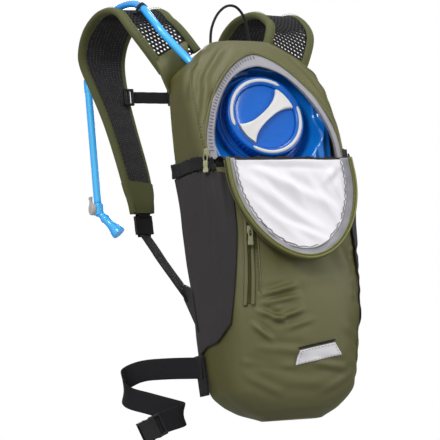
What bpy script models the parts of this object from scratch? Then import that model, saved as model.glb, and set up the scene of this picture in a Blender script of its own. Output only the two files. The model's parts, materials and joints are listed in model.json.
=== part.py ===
"""Hydration pack: a fabric body with a folding front flap, a hose and reservoir, straps and a belt.

Metres, +Z up. The opening faces -Y and the wearer's back is at +Y. Every piece is first
modelled in the bag's own measure: x from the middle, y from the back wall, height from
the bag's lowest point. At the end the whole pack is moved so that the origin lies in the
middle of the lumbar pad's flat face.
"""

import bmesh
import bpy
from math import acos, cos, hypot, pi, radians, sin
from mathutils import Matrix, Vector

# ---------------------------------------------------------------- driving dimensions
BAG_HEIGHT = 0.455
WALL = 0.002

# Half width, front face and back face of the bag at some heights.
HALF_WIDTH = [(0, 0.036), (0.012, 0.058), (0.035, 0.079), (0.07, 0.084), (0.14, 0.087), (0.25, 0.0925),
              (0.33, 0.0950), (0.38, 0.0940), (0.410, 0.090), (0.432, 0.068), (0.455, 0.040)]
FRONT = [(0, -0.086), (0.012, -0.106), (0.035, -0.120), (0.07, -0.130), (0.12, -0.136), (0.20, -0.129),
         (0.25, -0.119), (0.295, -0.105), (0.36, -0.088), (0.42, -0.068), (0.44, -0.058), (0.455, -0.044)]
BACK = [(0, -0.058), (0.015, -0.026), (0.045, -0.003), (0.065, 0), (0.43, 0), (0.455, -0.006)]
# Squareness of the front corners: 2 is an ellipse, more is boxier.
SQUARENESS = [(0, 2.4), (0.10, 3.0), (0.20, 3.8), (0.27, 6.0), (0.33, 6.0), (0.40, 3.4), (0.455, 2.6)]
BACK_SQUARENESS = 6.0

# Opening in the upper front, with the flap's fold line along its lower side.
FOLD_HEIGHT = 0.297
FOLD_Y = -0.110
FOLD_TRAVEL = radians(182)
OPENING_HALF_WIDTH = 0.0885
OPENING_SIDE = 0.020
OPENING_ARCH = 0.118
ARCH_POWER = 1.6
FLAP_START = 0.004
FLAP_INSET = 0.0056
FLAP_THICKNESS = 0.0014
LINING_THICKNESS = 0.0010
ZIP_BEAD = 0.0010
BODY_ZIP_INSET = 0.0017
FLAP_ZIP_INSET = 0.0042

# Reservoir and its fill port.
RESERVOIR_BOTTOM = 0.052
RESERVOIR_TOP = 0.416
RESERVOIR_HALF_WIDTH = [(0.052, 0.022), (0.060, 0.046), (0.09, 0.063), (0.16, 0.073), (0.25, 0.077),
                        (0.385, 0.077), (0.408, 0.060), (0.416, 0.034)]
RESERVOIR_BACK = -0.008
RESERVOIR_FRONT = [(0.052, -0.034), (0.09, -0.052), (0.20, -0.063), (0.29, -0.0590), (0.357, -0.0505),
                   (0.40, -0.0440), (0.416, -0.034)]
RESERVOIR_WALL = 0.0018
PORT_HEIGHT = 0.354
PORT_X = 0.004
PORT_Y = -0.0508
PORT_LEAN = radians(8)
FLANGE_RADIUS = 0.059
NECK_RADIUS = 0.0425
BORE_RADIUS = 0.0375
CAP_RADIUS = 0.0500
GRIP_REACH = 0.0385
GRIP_WAIST = 0.0055
GRIP_FLARE = 0.0100
GRIP_SLOPE = radians(38)

# Hose.
HOSE_RADIUS = 0.00475
HOSE_X = -0.1150
HOSE_Y = 0.1765
HOSE_JOINT_HEIGHT = 0.452
HOSE_END_HEIGHT = 0.300
HOSE_ON_STRAP = (0.08, 0.56)
VALVE_DIRECTION = Vector((0.50, -0.38, -0.78)).normalized()

# Shoulder straps: centre line of the left one, from the root to the tip.
STRAP_LINE = [(-0.0690, -0.0040, 0.4380), (-0.0835, 0.0020, 0.4640), (-0.0945, 0.0145, 0.4880),
              (-0.0955, 0.0385, 0.5095), (-0.0960, 0.0700, 0.5200), (-0.0965, 0.1050, 0.5215),
              (-0.0975, 0.1380, 0.5120), (-0.0979, 0.1590, 0.4950), (-0.0970, 0.1665, 0.4730),
              (-0.0960, 0.1545, 0.4380), (-0.0945, 0.1317, 0.3889), (-0.0920, 0.1110, 0.3334),
              (-0.0900, 0.1000, 0.2890), (-0.0893, 0.0995, 0.2723)]
STRAP_WIDTH = [(0, 0.061), (0.50, 0.066), (0.62, 0.058), (0.75, 0.049), (0.9, 0.044), (1, 0.032)]
STRAP_THICKNESS = 0.0070
ROOT_TILT = 35
STERNUM_HEIGHT = 0.430
STERNUM_Y = 0.1450
STERNUM_END = 0.0745

# Webbing.
WEB_THICKNESS = 0.0016
BELT_WIDTH = 0.025
BELT_PIVOT = Vector((0.0872, -0.0150, 0.0695))
ADJUST_WIDTH = 0.018

# Vertical zip of the front pocket.
POCKET_TOP = Vector((-0.0605, 0, 0.2160))
POCKET_LOW = Vector((-0.0680, 0, 0.1330))
SLIDER_STAND = 0.0037

# Pads on the back.
PAD_FACE = 0.012
LUMBAR_HEIGHT = 0.140

COLOURS = {
    "olive_fabric": ((0.092, 0.090, 0.042), 0.75),
    "olive_binding": ((0.060, 0.062, 0.022), 0.80),
    "charcoal_stretch": ((0.042, 0.038, 0.043), 0.85),
    "black_mesh": ((0.012, 0.011, 0.013), 0.90),
    "black_webbing": ((0.010, 0.009, 0.011), 0.80),
    "black_plastic": ((0.012, 0.012, 0.013), 0.45),
    "grey_lining": ((0.75, 0.74, 0.78), 0.80),
    "zip_tape": ((0.45, 0.44, 0.48), 0.85),
    "reservoir_film": ((0.010, 0.130, 0.640), 0.25),
    "cap_blue": ((0.010, 0.150, 0.700), 0.30),
    "cap_white": ((0.78, 0.77, 0.75), 0.40),
    "seal_rubber": ((0.02, 0.02, 0.02), 0.60),
    "hose_blue": ((0.020, 0.300, 0.850), 0.25),
    "valve_grey": ((0.55, 0.53, 0.51), 0.40),
    "reflective_white": ((0.86, 0.85, 0.87), 0.35),
    "khaki_cord": ((0.34, 0.34, 0.18), 0.70),
}

PARTS = None
CUTTERS = None
MATERIALS = {}


# ---------------------------------------------------------------- small tools
def smooth_value(keys, at):
    """Value of a smooth curve through (position, value) pairs, without overshoot."""
    if at <= keys[0][0]:
        return keys[0][1]
    if at >= keys[-1][0]:
        return keys[-1][1]
    rises = [(b[1] - a[1]) / (b[0] - a[0]) for a, b in zip(keys, keys[1:])]
    slopes = [rises[0]]
    for before, after in zip(rises, rises[1:]):
        slopes.append(0 if before * after <= 0 else 2 * before * after / (before + after))
    slopes.append(rises[-1])
    for i, (a, b) in enumerate(zip(keys, keys[1:])):
        if at <= b[0]:
            span = b[0] - a[0]
            t = (at - a[0]) / span
            rise = a[1] * (2 * t**3 - 3 * t**2 + 1) + b[1] * (3 * t**2 - 2 * t**3)
            bend = slopes[i] * (t**3 - 2 * t**2 + t) + slopes[i + 1] * (t**3 - t**2)
            return rise + bend * span


def smooth_path(points, steps):
    """A Catmull-Rom line through the points, with the given number of steps per span."""
    points = [Vector(p) for p in points]
    ends = [2 * points[0] - points[1]] + points + [2 * points[-1] - points[-2]]
    line = []
    for p0, p1, p2, p3 in zip(ends, ends[1:], ends[2:], ends[3:]):
        for k in range(steps):
            t = k / steps
            line.append(0.5 * (2 * p1 + (p2 - p0) * t + (2 * p0 - 5 * p1 + 4 * p2 - p3) * t**2
                               + (3 * p1 - p0 - 3 * p2 + p3) * t**3))
    line.append(points[-1])
    return line


def even_path(line, count):
    """The same line with the given number of evenly spaced points."""
    runs = [0]
    for a, b in zip(line, line[1:]):
        runs.append(runs[-1] + (b - a).length)
    spaced = []
    for k in range(count):
        want = runs[-1] * k / (count - 1)
        i = max(j for j in range(len(line) - 1) if runs[j] <= want + 1e-12)
        share = (want - runs[i]) / (runs[i + 1] - runs[i])
        spaced.append(line[i].lerp(line[i + 1], min(1, share)))
    return spaced


def mirrored(point):
    return Vector((-point[0], point[1], point[2]))


def material(name):
    if name not in MATERIALS:
        colour, roughness = COLOURS[name]
        made = bpy.data.materials.new(name)
        made.use_nodes = True
        shader = made.node_tree.nodes["Principled BSDF"]
        shader.inputs["Base Color"].default_value = (*colour, 1)
        shader.inputs["Roughness"].default_value = roughness
        shader.inputs["Metallic"].default_value = 0
        MATERIALS[name] = made
    return MATERIALS[name]


def place(name, data, look, origin=(0, 0, 0)):
    """An object in the parts collection, with its origin moved onto a joint or a root."""
    data.transform(Matrix.Translation(-Vector(origin)))
    made = bpy.data.objects.new(name, data)
    made.location = origin
    data.materials.append(material(look))
    PARTS.objects.link(made)
    return made


def mesh_from(bm, name):
    bmesh.ops.recalc_face_normals(bm, faces=bm.faces)
    data = bpy.data.meshes.new(name)
    bm.to_mesh(data)
    bm.free()
    return data


def soften(made, angle=40):
    made.data.shade_smooth()
    made.data.set_sharp_from_angle(angle=radians(angle))


def sheet(name, columns, rows, spot, thickness, look, origin=(0, 0, 0)):
    """A fabric panel: a grid laid out by spot(u, v) for u, v in 0..1, made solid behind."""
    bm = bmesh.new()
    bmesh.ops.create_grid(bm, x_segments=columns, y_segments=rows, size=0.5)
    for vert in bm.verts:
        vert.co = spot(vert.co.x + 0.5, vert.co.y + 0.5)
    data = bpy.data.meshes.new(name)
    bm.to_mesh(data)
    bm.free()
    made = place(name, data, look, origin)
    soften(made)
    solid = made.modifiers.new("thickness", "SOLIDIFY")
    solid.thickness = thickness
    solid.offset = -1
    return made


def block(name, size, centre, look, turn=Matrix(), bevel=0.0, origin=None):
    """A box with rounded edges. turn is a rotation of the box about its own centre."""
    bm = bmesh.new()
    bmesh.ops.create_cube(bm, size=1)
    bmesh.ops.scale(bm, vec=Vector(size), verts=bm.verts)
    bmesh.ops.transform(bm, matrix=Matrix.Translation(centre) @ turn.to_4x4(), verts=bm.verts)
    made = place(name, mesh_from(bm, name), look, centre if origin is None else origin)
    if bevel:
        edge = made.modifiers.new("edges", "BEVEL")
        edge.width = bevel
        edge.segments = 2
    return made


def cord(name, line, radius, look, origin=(0, 0, 0), closed=False):
    """A round cord, hose or bead along a line of points."""
    curve = bpy.data.curves.new(name, "CURVE")
    curve.dimensions = "3D"
    curve.bevel_depth = radius
    curve.bevel_resolution = 2
    curve.use_fill_caps = True
    spline = curve.splines.new("POLY")
    spline.points.add(len(line) - 1)
    for point, at in zip(spline.points, line):
        point.co = (*at, 1)
    spline.use_cyclic_u = closed
    return place(name, curve, look, origin)


def facing(axis, across=Vector((1, 0, 0))):
    """A rotation that turns +Z onto the axis."""
    ahead = Vector(axis).normalized()
    side = (across - ahead * across.dot(ahead)).normalized()
    return Matrix((side, ahead.cross(side), ahead)).transposed()


def turned(name, profile, centre, axis, look, steps=28, ring=True):
    """A turned piece. profile has (radius, distance along the axis) pairs, outer side first."""
    bm = bmesh.new()
    verts = [bm.verts.new((r, 0, z)) for r, z in profile]
    for a, b in zip(verts, verts[1:]):
        bm.edges.new((a, b))
    if ring:
        bm.edges.new((verts[-1], verts[0]))
    data = bpy.data.meshes.new(name)
    bm.to_mesh(data)
    bm.free()
    made = place(name, data, look)
    made.location = centre
    made.rotation_euler = facing(axis).to_euler()
    screw = made.modifiers.new("turn", "SCREW")
    screw.axis = "Z"
    screw.steps = steps
    screw.render_steps = steps
    screw.use_merge_vertices = True
    screw.merge_threshold = 0.00001
    screw.use_smooth_shade = True
    return made


def webbing(name, line, width, look, across, origin=(0, 0, 0), thickness=WEB_THICKNESS):
    """A flat strip along a line. across(share) is the direction of its width."""
    def spot(u, v):
        i = round(u * (len(line) - 1))
        along = (line[min(i + 1, len(line) - 1)] - line[max(i - 1, 0)]).normalized()
        side = across(i / (len(line) - 1))
        side = (side - along * side.dot(along)).normalized()
        return line[i] + side * width * (v - 0.5)
    return sheet(name, len(line) - 1, 1, spot, thickness, look, origin)


def cutter(name, bm):
    made = bpy.data.objects.new(name, mesh_from(bm, name))
    made.display_type = "WIRE"
    made.hide_render = True
    CUTTERS.objects.link(made)
    return made


def cut(target, tool):
    away = target.modifiers.new("cut_" + tool.name, "BOOLEAN")
    away.operation = "DIFFERENCE"
    away.solver = "EXACT"
    away.object = tool


def cylinder_bm(radius, start, end, segments=24):
    start = Vector(start)
    end = Vector(end)
    bm = bmesh.new()
    bmesh.ops.create_cone(bm, cap_ends=True, segments=segments, radius1=radius, radius2=radius,
                          depth=(end - start).length)
    turn = facing(end - start).to_4x4()
    bmesh.ops.transform(bm, matrix=Matrix.Translation((start + end) / 2) @ turn, verts=bm.verts)
    return bm


# ---------------------------------------------------------------- the bag's surface
def power(base, exponent):
    return abs(base) ** exponent * (1 if base >= 0 else -1)


def bag_point(angle, height, outset=0.0):
    """A point of the bag's surface. angle runs from +X (0) over the back (90) to -X and the front."""
    half = smooth_value(HALF_WIDTH, height) + outset
    front = smooth_value(FRONT, height) - outset
    back = smooth_value(BACK, height) + outset
    square = smooth_value(SQUARENESS, height) if sin(angle) < 0 else BACK_SQUARENESS
    x = half * power(cos(angle), 2 / square)
    y = (front + back) / 2 + (back - front) / 2 * power(sin(angle), 2 / square)
    return Vector((x, y, height))


def front_point(x, height, outset=0.0):
    """The point of the bag's front at this x and height."""
    half = smooth_value(HALF_WIDTH, height) + outset
    front = smooth_value(FRONT, height) - outset
    back = smooth_value(BACK, height) + outset
    square = smooth_value(SQUARENESS, height)
    share = (1 - min(1, abs(x) / half) ** square) ** (1 / square)
    return Vector((x, (front + back) / 2 - (back - front) / 2 * share, height))


def bag_body_bm(inset, columns=32, rows=20):
    """The bag's surface, or the same a wall's thickness further in."""
    bm = bmesh.new()
    bmesh.ops.create_uvsphere(bm, u_segments=columns, v_segments=rows, radius=1)
    for vert in bm.verts:
        height = inset + (BAG_HEIGHT - 2 * inset) * (1 + vert.co.z) / 2
        ring = hypot(vert.co.x, vert.co.y)
        if ring < 1e-4:
            middle = (smooth_value(FRONT, height) + smooth_value(BACK, height)) / 2
            vert.co = (0, middle, height)
        else:
            angle = acos(max(-1, min(1, vert.co.x / ring)))
            vert.co = bag_point(angle if vert.co.y >= 0 else -angle, height, -inset)
    return bm


def rim_top(x, inset):
    """Height of the opening's arch above x."""
    reach = OPENING_HALF_WIDTH - inset
    rise = (1 - min(1, abs(x) / reach) ** ARCH_POWER) ** (1 / ARCH_POWER)
    return FOLD_HEIGHT + OPENING_SIDE + (OPENING_ARCH - inset) * rise


def rim_outline(inset, start, count=20):
    """The opening's edge as (x, height) pairs, from its left lower end over the arch to the right."""
    reach = OPENING_HALF_WIDTH - inset
    outline = [(-reach, FOLD_HEIGHT + start)]
    for k in range(count + 1):
        angle = pi * k / count
        x = -reach * power(cos(angle), 2 / ARCH_POWER)
        outline.append((x, rim_top(x, inset)))
    outline.append((reach, FOLD_HEIGHT + start))
    return outline


# ---------------------------------------------------------------- body, flap and panels
def make_main_shell():
    shell = place("main_shell", mesh_from(bag_body_bm(0), "main_shell"), "olive_fabric")
    soften(shell)
    cut(shell, cutter("shell_inside", bag_body_bm(WALL)))
    bm = bmesh.new()
    outline = [bm.verts.new((x, -0.20, z)) for x, z in rim_outline(0, -FLAP_START)]
    face = bm.faces.new(outline)
    grown = bmesh.ops.extrude_face_region(bm, geom=[face])
    moved = [item for item in grown["geom"] if isinstance(item, bmesh.types.BMVert)]
    bmesh.ops.translate(bm, vec=(0, 0.175, 0), verts=moved)
    cut(shell, cutter("shell_opening", bm))
    passage = cylinder_bm(HOSE_RADIUS + 0.0022, (-0.050, -0.026, 0.36), (-0.050, -0.026, 0.48))
    cut(shell, cutter("hose_exit", passage))


def make_flap():
    """Two layers that close the opening, built shut and then swung open about the fold line."""
    reach = OPENING_HALF_WIDTH - FLAP_INSET
    bottom = FOLD_HEIGHT + FLAP_START

    def layer(outset):
        def spot(u, v):
            x = reach * sin((u - 0.5) * pi)
            top = rim_top(x, FLAP_INSET)
            return front_point(x, bottom + (top - bottom) * v, outset)
        return spot

    fold = Vector((0, FOLD_Y, FOLD_HEIGHT))
    pieces = [
        sheet("front_flap", 14, 8, layer(0), FLAP_THICKNESS, "olive_fabric", fold),
        sheet("flap_lining", 14, 8, layer(-FLAP_THICKNESS - 0.0003), LINING_THICKNESS, "grey_lining", fold),
    ]
    outline = rim_outline(FLAP_ZIP_INSET, FLAP_START)
    line = [front_point(x, z, -ZIP_BEAD) for x, z in outline]
    pieces.append(cord("flap_zip", line, ZIP_BEAD, "zip_tape", fold))
    for piece in pieces:
        piece.rotation_euler.x = FOLD_TRAVEL


def make_body_zip():
    line = [front_point(x, z, -ZIP_BEAD) for x, z in rim_outline(BODY_ZIP_INSET, FLAP_START)]
    cord("body_zip", line, ZIP_BEAD, "zip_tape")


def make_zip_slider(side, sign):
    """Slider parked at the end of the main zip, on the bag's front corner, with a hanging pull."""
    corner = front_point(sign * OPENING_HALF_WIDTH, FOLD_HEIGHT + 0.010)
    out = Vector((sign, -1, 0)).normalized()
    turn = Matrix.Rotation(-sign * pi / 4, 3, "Z")
    block("main_slider_" + side, (0.0046, 0.0060, 0.0100), corner + out * 0.0036, "black_plastic", turn,
          0.0008)
    top = corner + out * 0.0074 - Vector((0, 0, 0.0020))
    aside = Vector((sign, 1, 0)).normalized()
    line = [top + aside * a + out * o - Vector((0, 0, d)) for a, o, d in
            ((0, 0, 0), (0.0028, 0.001, 0.006), (0.0028, 0.003, 0.018), (0, 0.004, 0.022),
             (-0.0028, 0.003, 0.018), (-0.0028, 0.001, 0.006))]
    cord("main_pull_" + side, line, 0.0010, "khaki_cord", top, closed=True)


def make_side_panel(side, sign):
    """Stretch pocket over the bag's side, and the gathered elastic along its upper edge."""
    def on_side(share, end, height, outset):
        sweep = radians(128 + (end - 128) * share)
        return bag_point(sweep if sign < 0 else pi - sweep, height, outset)

    def pocket(u, v):
        share = u if sign < 0 else 1 - u
        low = 0.088 + 0.022 * share ** 3 - 0.008 * sin(pi * share)
        top = 0.2965 - 0.0175 * share
        height = low + (top - low) * v
        return on_side(share, 211 + 270 * (height - 0.145), height, 0.0028)

    def elastic(u, v):
        share = u if sign < 0 else 1 - u
        return on_side(share, 224, 0.2995 - 0.015 * share + 0.0145 * v, 0.0042)

    sheet("side_pocket_" + side, 9, 7, pocket, 0.0011, "charcoal_stretch")
    sheet("pocket_elastic_" + side, 9, 1, elastic, 0.0020, "black_webbing")


def make_sleeve():
    """Inner divider in front of the reservoir, with an elastic top edge."""
    def panel(u, v):
        height = 0.050 + 0.2425 * v
        reach = smooth_value(HALF_WIDTH, height) - 0.012
        x = reach * (2 * u - 1)
        return Vector((x, -0.070 - 0.008 * cos((u - 0.5) * pi), height))

    def edge(u, v):
        x = 0.0825 * (2 * u - 1)
        return Vector((x, -0.0705 - 0.008 * cos((u - 0.5) * pi), 0.2930 + 0.0100 * v))

    sheet("reservoir_sleeve", 10, 4, panel, 0.0008, "grey_lining")
    sheet("sleeve_elastic", 10, 1, edge, 0.0022, "black_webbing")


def make_back():
    """Back mesh, lumbar pad and two shoulder pads."""
    def panel(u, v):
        height = 0.050 + 0.365 * v
        reach = smooth_value(HALF_WIDTH, height) - 0.020
        return Vector((-reach * (2 * u - 1), 0.0034, height))

    sheet("back_mesh", 2, 12, panel, 0.0030, "black_mesh")
    depth = PAD_FACE - 0.0038
    middle = PAD_FACE - depth / 2
    block("lumbar_pad", (0.112, depth, 0.104), (0, middle, LUMBAR_HEIGHT), "black_mesh", bevel=0.003)
    for side, sign in (("left", -1), ("right", 1)):
        block("shoulder_pad_" + side, (0.050, depth - 0.001, 0.120), (sign * 0.034, middle - 0.0005, 0.318),
              "black_mesh", bevel=0.003)


def make_front_details():
    def strip(x_top, x_low, top, low, width, outset):
        def spot(u, v):
            height = low + (top - low) * v
            x = x_low + (x_top - x_low) * v + width * (u - 0.5)
            return front_point(x, height, outset)
        return spot

    sheet("pocket_zip_tape", 2, 8, strip(POCKET_TOP.x, POCKET_LOW.x, 0.2260, 0.1290, 0.0100, 0.0012), 0.0009,
          "olive_binding")

    def patch(u, v):
        x = 0.060 * (u - 0.5) * (1 - 0.20 * v)
        z = 0.017 * (v - 0.5)
        tilt = radians(9)
        height = 0.0695 + x * sin(tilt) + z * cos(tilt)
        return front_point(0.009 + x * cos(tilt) - z * sin(tilt), height, 0.0012)

    sheet("reflective_patch", 6, 2, patch, 0.0008, "reflective_white")


def pocket_zip_line():
    """Start, direction and outward normal of the pocket slider's travel."""
    start = front_point(POCKET_TOP.x, POCKET_TOP.z - 0.004)
    end = front_point(POCKET_LOW.x, POCKET_LOW.z)
    along = (end - start).normalized()
    over = front_point(start.x + 0.002, start.z) - front_point(start.x - 0.002, start.z)
    out = along.cross(over).normalized()
    if out.y > 0:
        out = -out
    return start, along, out


def make_pocket_zip():
    start, along, out = pocket_zip_line()
    turn = Matrix((along.cross(out), along, out)).transposed()
    block("pocket_slider", (0.0068, 0.0090, 0.0030), start + out * (SLIDER_STAND + 0.0010), "black_plastic",
          turn, 0.0007)
    top = start + out * (SLIDER_STAND + 0.0042)
    aside = along.cross(out)
    line = [top + aside * a + along * d for a, d in
            ((0, 0), (-0.0026, 0.004), (-0.0030, 0.012), (0, 0.0155), (0.0030, 0.012), (0.0026, 0.004))]
    cord("pocket_pull", line, 0.0012, "khaki_cord", top, closed=True)


def make_haul_loop():
    line = smooth_path([(-0.0235, 0.0040, 0.4580), (-0.0195, 0.0040, 0.4820), (-0.0095, 0.0040, 0.5010),
                        (0.0045, 0.0040, 0.5120), (0.0180, 0.0040, 0.5105), (0.0275, 0.0040, 0.4960),
                        (0.0300, 0.0040, 0.4740), (0.0295, 0.0040, 0.4580)], 3)
    cord("haul_loop", line, 0.0018, "black_webbing", (0.0030, 0.0040, 0.4580))


# ---------------------------------------------------------------- reservoir and fill port
def make_reservoir():
    def body(inset):
        bm = bmesh.new()
        bmesh.ops.create_uvsphere(bm, u_segments=20, v_segments=14, radius=1)
        low = RESERVOIR_BOTTOM + inset
        span = RESERVOIR_TOP - RESERVOIR_BOTTOM - 2 * inset
        for vert in bm.verts:
            height = low + span * (1 + vert.co.z) / 2
            ring = hypot(vert.co.x, vert.co.y)
            half = smooth_value(RESERVOIR_HALF_WIDTH, height) - inset
            front = smooth_value(RESERVOIR_FRONT, height) + inset
            back = RESERVOIR_BACK - inset
            if ring < 1e-4:
                vert.co = (0, (front + back) / 2, height)
                continue
            x = half * power(vert.co.x / ring, 2 / 4.0)
            y = (front + back) / 2 + (back - front) / 2 * power(vert.co.y / ring, 2 / 3.5)
            vert.co = (x, y, height)
        return bm

    bag = place("reservoir_bag", mesh_from(body(0), "reservoir_bag"), "reservoir_film")
    soften(bag)
    cut(bag, cutter("reservoir_inside", body(RESERVOIR_WALL)))
    mouth = port_place(0)
    outward = port_axis()
    cut(bag, cutter("reservoir_mouth", cylinder_bm(NECK_RADIUS - 0.004, mouth - outward * 0.020,
                                                   mouth + outward * 0.010)))


def port_axis():
    """Outward direction of the fill port."""
    return Vector((0, -cos(PORT_LEAN), sin(PORT_LEAN)))


def port_place(along):
    return Vector((PORT_X, PORT_Y, PORT_HEIGHT)) + port_axis() * along


def make_fill_port():
    """Welded flange with a threaded neck, its seal, and the screw cap with its grip bar."""
    outward = port_axis()
    base = 0.0012
    flange = [(FLANGE_RADIUS, base + 0.0035), (FLANGE_RADIUS, base), (BORE_RADIUS, base),
              (BORE_RADIUS, 0.0125), (NECK_RADIUS, 0.0125), (NECK_RADIUS, 0.0070), (0.0535, 0.0060)]
    turned("fill_port", flange, port_place(0), outward, "cap_blue", 32)
    seal = [(NECK_RADIUS - 0.0004 + 0.0010 * cos(a), 0.0142 + 0.0010 * sin(a)) for a in
            [2 * pi * k / 6 for k in range(6)]]
    turned("cap_seal", seal[::-1], port_place(0), outward, "seal_rubber", 32)
    rim = [(CAP_RADIUS, 0.0195), (CAP_RADIUS, 0.0078), (NECK_RADIUS + 0.0012, 0.0078),
           (NECK_RADIUS + 0.0012, 0.0158), (0.0392, 0.0158), (0.0392, 0.0180), (0.0420, 0.0205),
           (0.0480, 0.0212)]
    turned("cap_ring", rim, port_place(0), outward, "cap_blue", 32)
    disc = [(0, 0.0162), (0.030, 0.0162), (0.0388, 0.0172), (0.0388, 0.0148), (0, 0.0148)]
    turned("cap_disc", disc, port_place(0), outward, "cap_blue", 32, ring=False)
    turn = facing(outward) @ Matrix.Rotation(GRIP_SLOPE, 3, "Z")

    def grip(u, v):
        half = GRIP_WAIST + GRIP_FLARE * abs(2 * u - 1) ** 3
        across = half * (2 * v - 1)
        along = (2 * u - 1) * (GRIP_REACH ** 2 - across ** 2) ** 0.5
        return port_place(0.0196) + turn @ Vector((along, across, 0.0020))

    sheet("cap_grip", 10, 2, grip, 0.0040, "cap_white", port_place(0))


def make_hanger():
    block("hanger_bar", (0.046, 0.0050, 0.0080), (0.005, -0.0380, 0.4325), "cap_white", bevel=0.0012)


# ---------------------------------------------------------------- shoulder straps
def strap_frame(sign, count=28):
    """Centre line, width direction, outward normal and share for each row of a strap."""
    line = even_path(smooth_path(STRAP_LINE, 6), count)
    rows = []
    for i, at in enumerate(line):
        share = i / (count - 1)
        before = line[max(0, i - 1)]
        after = line[min(count - 1, i + 1)]
        along = (after - before).normalized()
        rise = radians(smooth_value([(0, ROOT_TILT), (0.16, 8), (0.30, 0), (1, 0)], share))
        twist = radians(smooth_value([(0, 0), (0.30, 2), (0.50, 11), (0.68, 22), (0.9, 20), (1, 15)], share))
        side = Vector((cos(rise) * cos(twist), sin(twist), sin(rise)))
        side = (side - along * side.dot(along)).normalized()
        out = side.cross(along).normalized()
        if sign > 0:
            at, side, out, along = mirrored(at), mirrored(side), mirrored(out), mirrored(along)
        rows.append((at, side, out, along, share))
    return rows


def make_strap(side_name, sign):
    rows = strap_frame(sign)

    def spot(u, v):
        at, side, out, along, share = rows[round(u * (len(rows) - 1))]
        width = smooth_value(STRAP_WIDTH, share)
        return at + side * width * (v - 0.5) * sign + out * STRAP_THICKNESS / 2

    sheet("shoulder_strap_" + side_name, len(rows) - 1, 3, spot, STRAP_THICKNESS, "black_mesh")
    at, side, out, along, _ = rows[-1]
    turn = Matrix((side, along, out)).transposed()
    if turn.determinant() < 0:
        turn = Matrix((-side, along, out)).transposed()
    lock = at + along * 0.0145
    block("ladder_lock_" + side_name, (0.026, 0.022, 0.0060), lock, "black_plastic", turn, 0.0010)
    end = Vector((sign * 0.0770, 0.0066, 0.1490))
    start = lock + along * 0.0125
    line = [start.lerp(end, k / 6) + Vector((0, -0.004 * sin(pi * k / 6), 0)) for k in range(7)]
    webbing("adjust_web_" + side_name, line, ADJUST_WIDTH, "black_webbing",
            lambda share: Vector((sign, 0.25, 0)))
    rows_of_keepers = [("keeper_upper", 0.20), ("keeper_lower", 0.44)]
    if sign < 0:
        for name, share in rows_of_keepers:
            make_keeper(name, rows[round(share * (len(rows) - 1))])


def make_keeper(name, row):
    """Elastic loop that holds the hose on the strap's outer face: an arch over the hose."""
    at, side, out, along, share = row
    lateral = hose_lateral(share)
    middle = at + out * (STRAP_THICKNESS / 2 + 0.0008 + HOSE_RADIUS) + side * lateral
    radius = HOSE_RADIUS + 0.0008

    def spot(u, v):
        turn = 1.5 * u - 0.25
        bend = radians(180) * min(1, max(0, turn))
        leg = HOSE_RADIUS * 4 * (min(0, turn) + min(0, 1 - turn))
        arch = side * radius * cos(bend) + out * (radius * sin(bend) + leg)
        return middle + arch + along * 0.008 * (v - 0.5)

    sheet(name, 12, 1, spot, 0.0010, "black_webbing")


# ---------------------------------------------------------------- hose and bite valve
def hose_lateral(share):
    """How far the hose lies towards the strap's outer edge."""
    return -smooth_value([(0, 0), (0.20, 0.002), (0.35, 0.005), (0.46, 0.010), (0.58, 0.019)], share)


def hose_joint():
    return Vector((HOSE_X, HOSE_Y, HOSE_JOINT_HEIGHT))


def make_hose():
    """Inner run up the reservoir's side, outer run over the strap, and the free end with its valve."""
    inner = smooth_path([(-0.0550, -0.0300, 0.0400), (-0.0655, -0.0300, 0.0440), (-0.0710, -0.0315, 0.0620),
                         (-0.0765, -0.0320, 0.1200), (-0.0823, -0.0320, 0.2000), (-0.0845, -0.0310, 0.3000),
                         (-0.0850, -0.0300, 0.3700), (-0.0780, -0.0280, 0.4030), (-0.0590, -0.0265, 0.4265),
                         (-0.0505, -0.0258, 0.4420)], 3)
    rows = strap_frame(-1)
    outer = [Vector((-0.0500, -0.0240, 0.4570))]
    for at, side, out, along, share in rows:
        if HOSE_ON_STRAP[0] <= share <= HOSE_ON_STRAP[1]:
            lift = STRAP_THICKNESS / 2 + HOSE_RADIUS + 0.0008
            outer.append(at + out * lift + side * hose_lateral(share))
    top = hose_joint() + Vector((0, 0, 0.001))
    run = even_path(smooth_path(outer + [top], 3), 34)
    cord("hose_inner", inner + [Vector((-0.0500, -0.0250, 0.4520))], HOSE_RADIUS, "hose_blue")
    cord("hose_outer", run, HOSE_RADIUS, "hose_blue")
    free = [hose_joint() - Vector((0, 0, 0.003 + k * (HOSE_JOINT_HEIGHT - 0.003 - HOSE_END_HEIGHT) / 6))
            for k in range(7)]
    cord("hose_free", free, HOSE_RADIUS, "hose_blue", hose_joint())
    block("quick_link", (0.020, 0.016, 0.014), (-0.0440, -0.0300, 0.0400), "valve_grey", bevel=0.002)


def make_bite_valve():
    neck = Vector((HOSE_X, HOSE_Y, HOSE_END_HEIGHT - 0.0004))
    body = [(0, 0), (0.0072, 0), (0.0072, -0.0120), (0.0050, -0.0150), (0, -0.0150)]
    turned("valve_body", body, neck, (0, 0, 1), "valve_grey", 20, ring=False)
    hub = neck + Vector((0, 0, -0.0070))
    lever_side = Vector((-1, 0, 0))
    block("shutoff_lever", (0.0030, 0.0060, 0.0200), hub + lever_side * 0.0092 + Vector((0, 0, 0.0050)),
          "valve_grey", bevel=0.0008, origin=hub + lever_side * 0.0092)
    elbow = neck + Vector((0, 0, -0.0100))
    mouth = [(0.0040, 0.0112), (0.0048, 0.0212), (0.0066, 0.0292), (0.0078, 0.0372), (0.0070, 0.0397),
             (0.0050, 0.0397), (0.0026, 0.0352), (0.0026, 0.0112)]
    turned("bite_mouthpiece", mouth[::-1], elbow, VALVE_DIRECTION, "hose_blue", 20)


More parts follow.
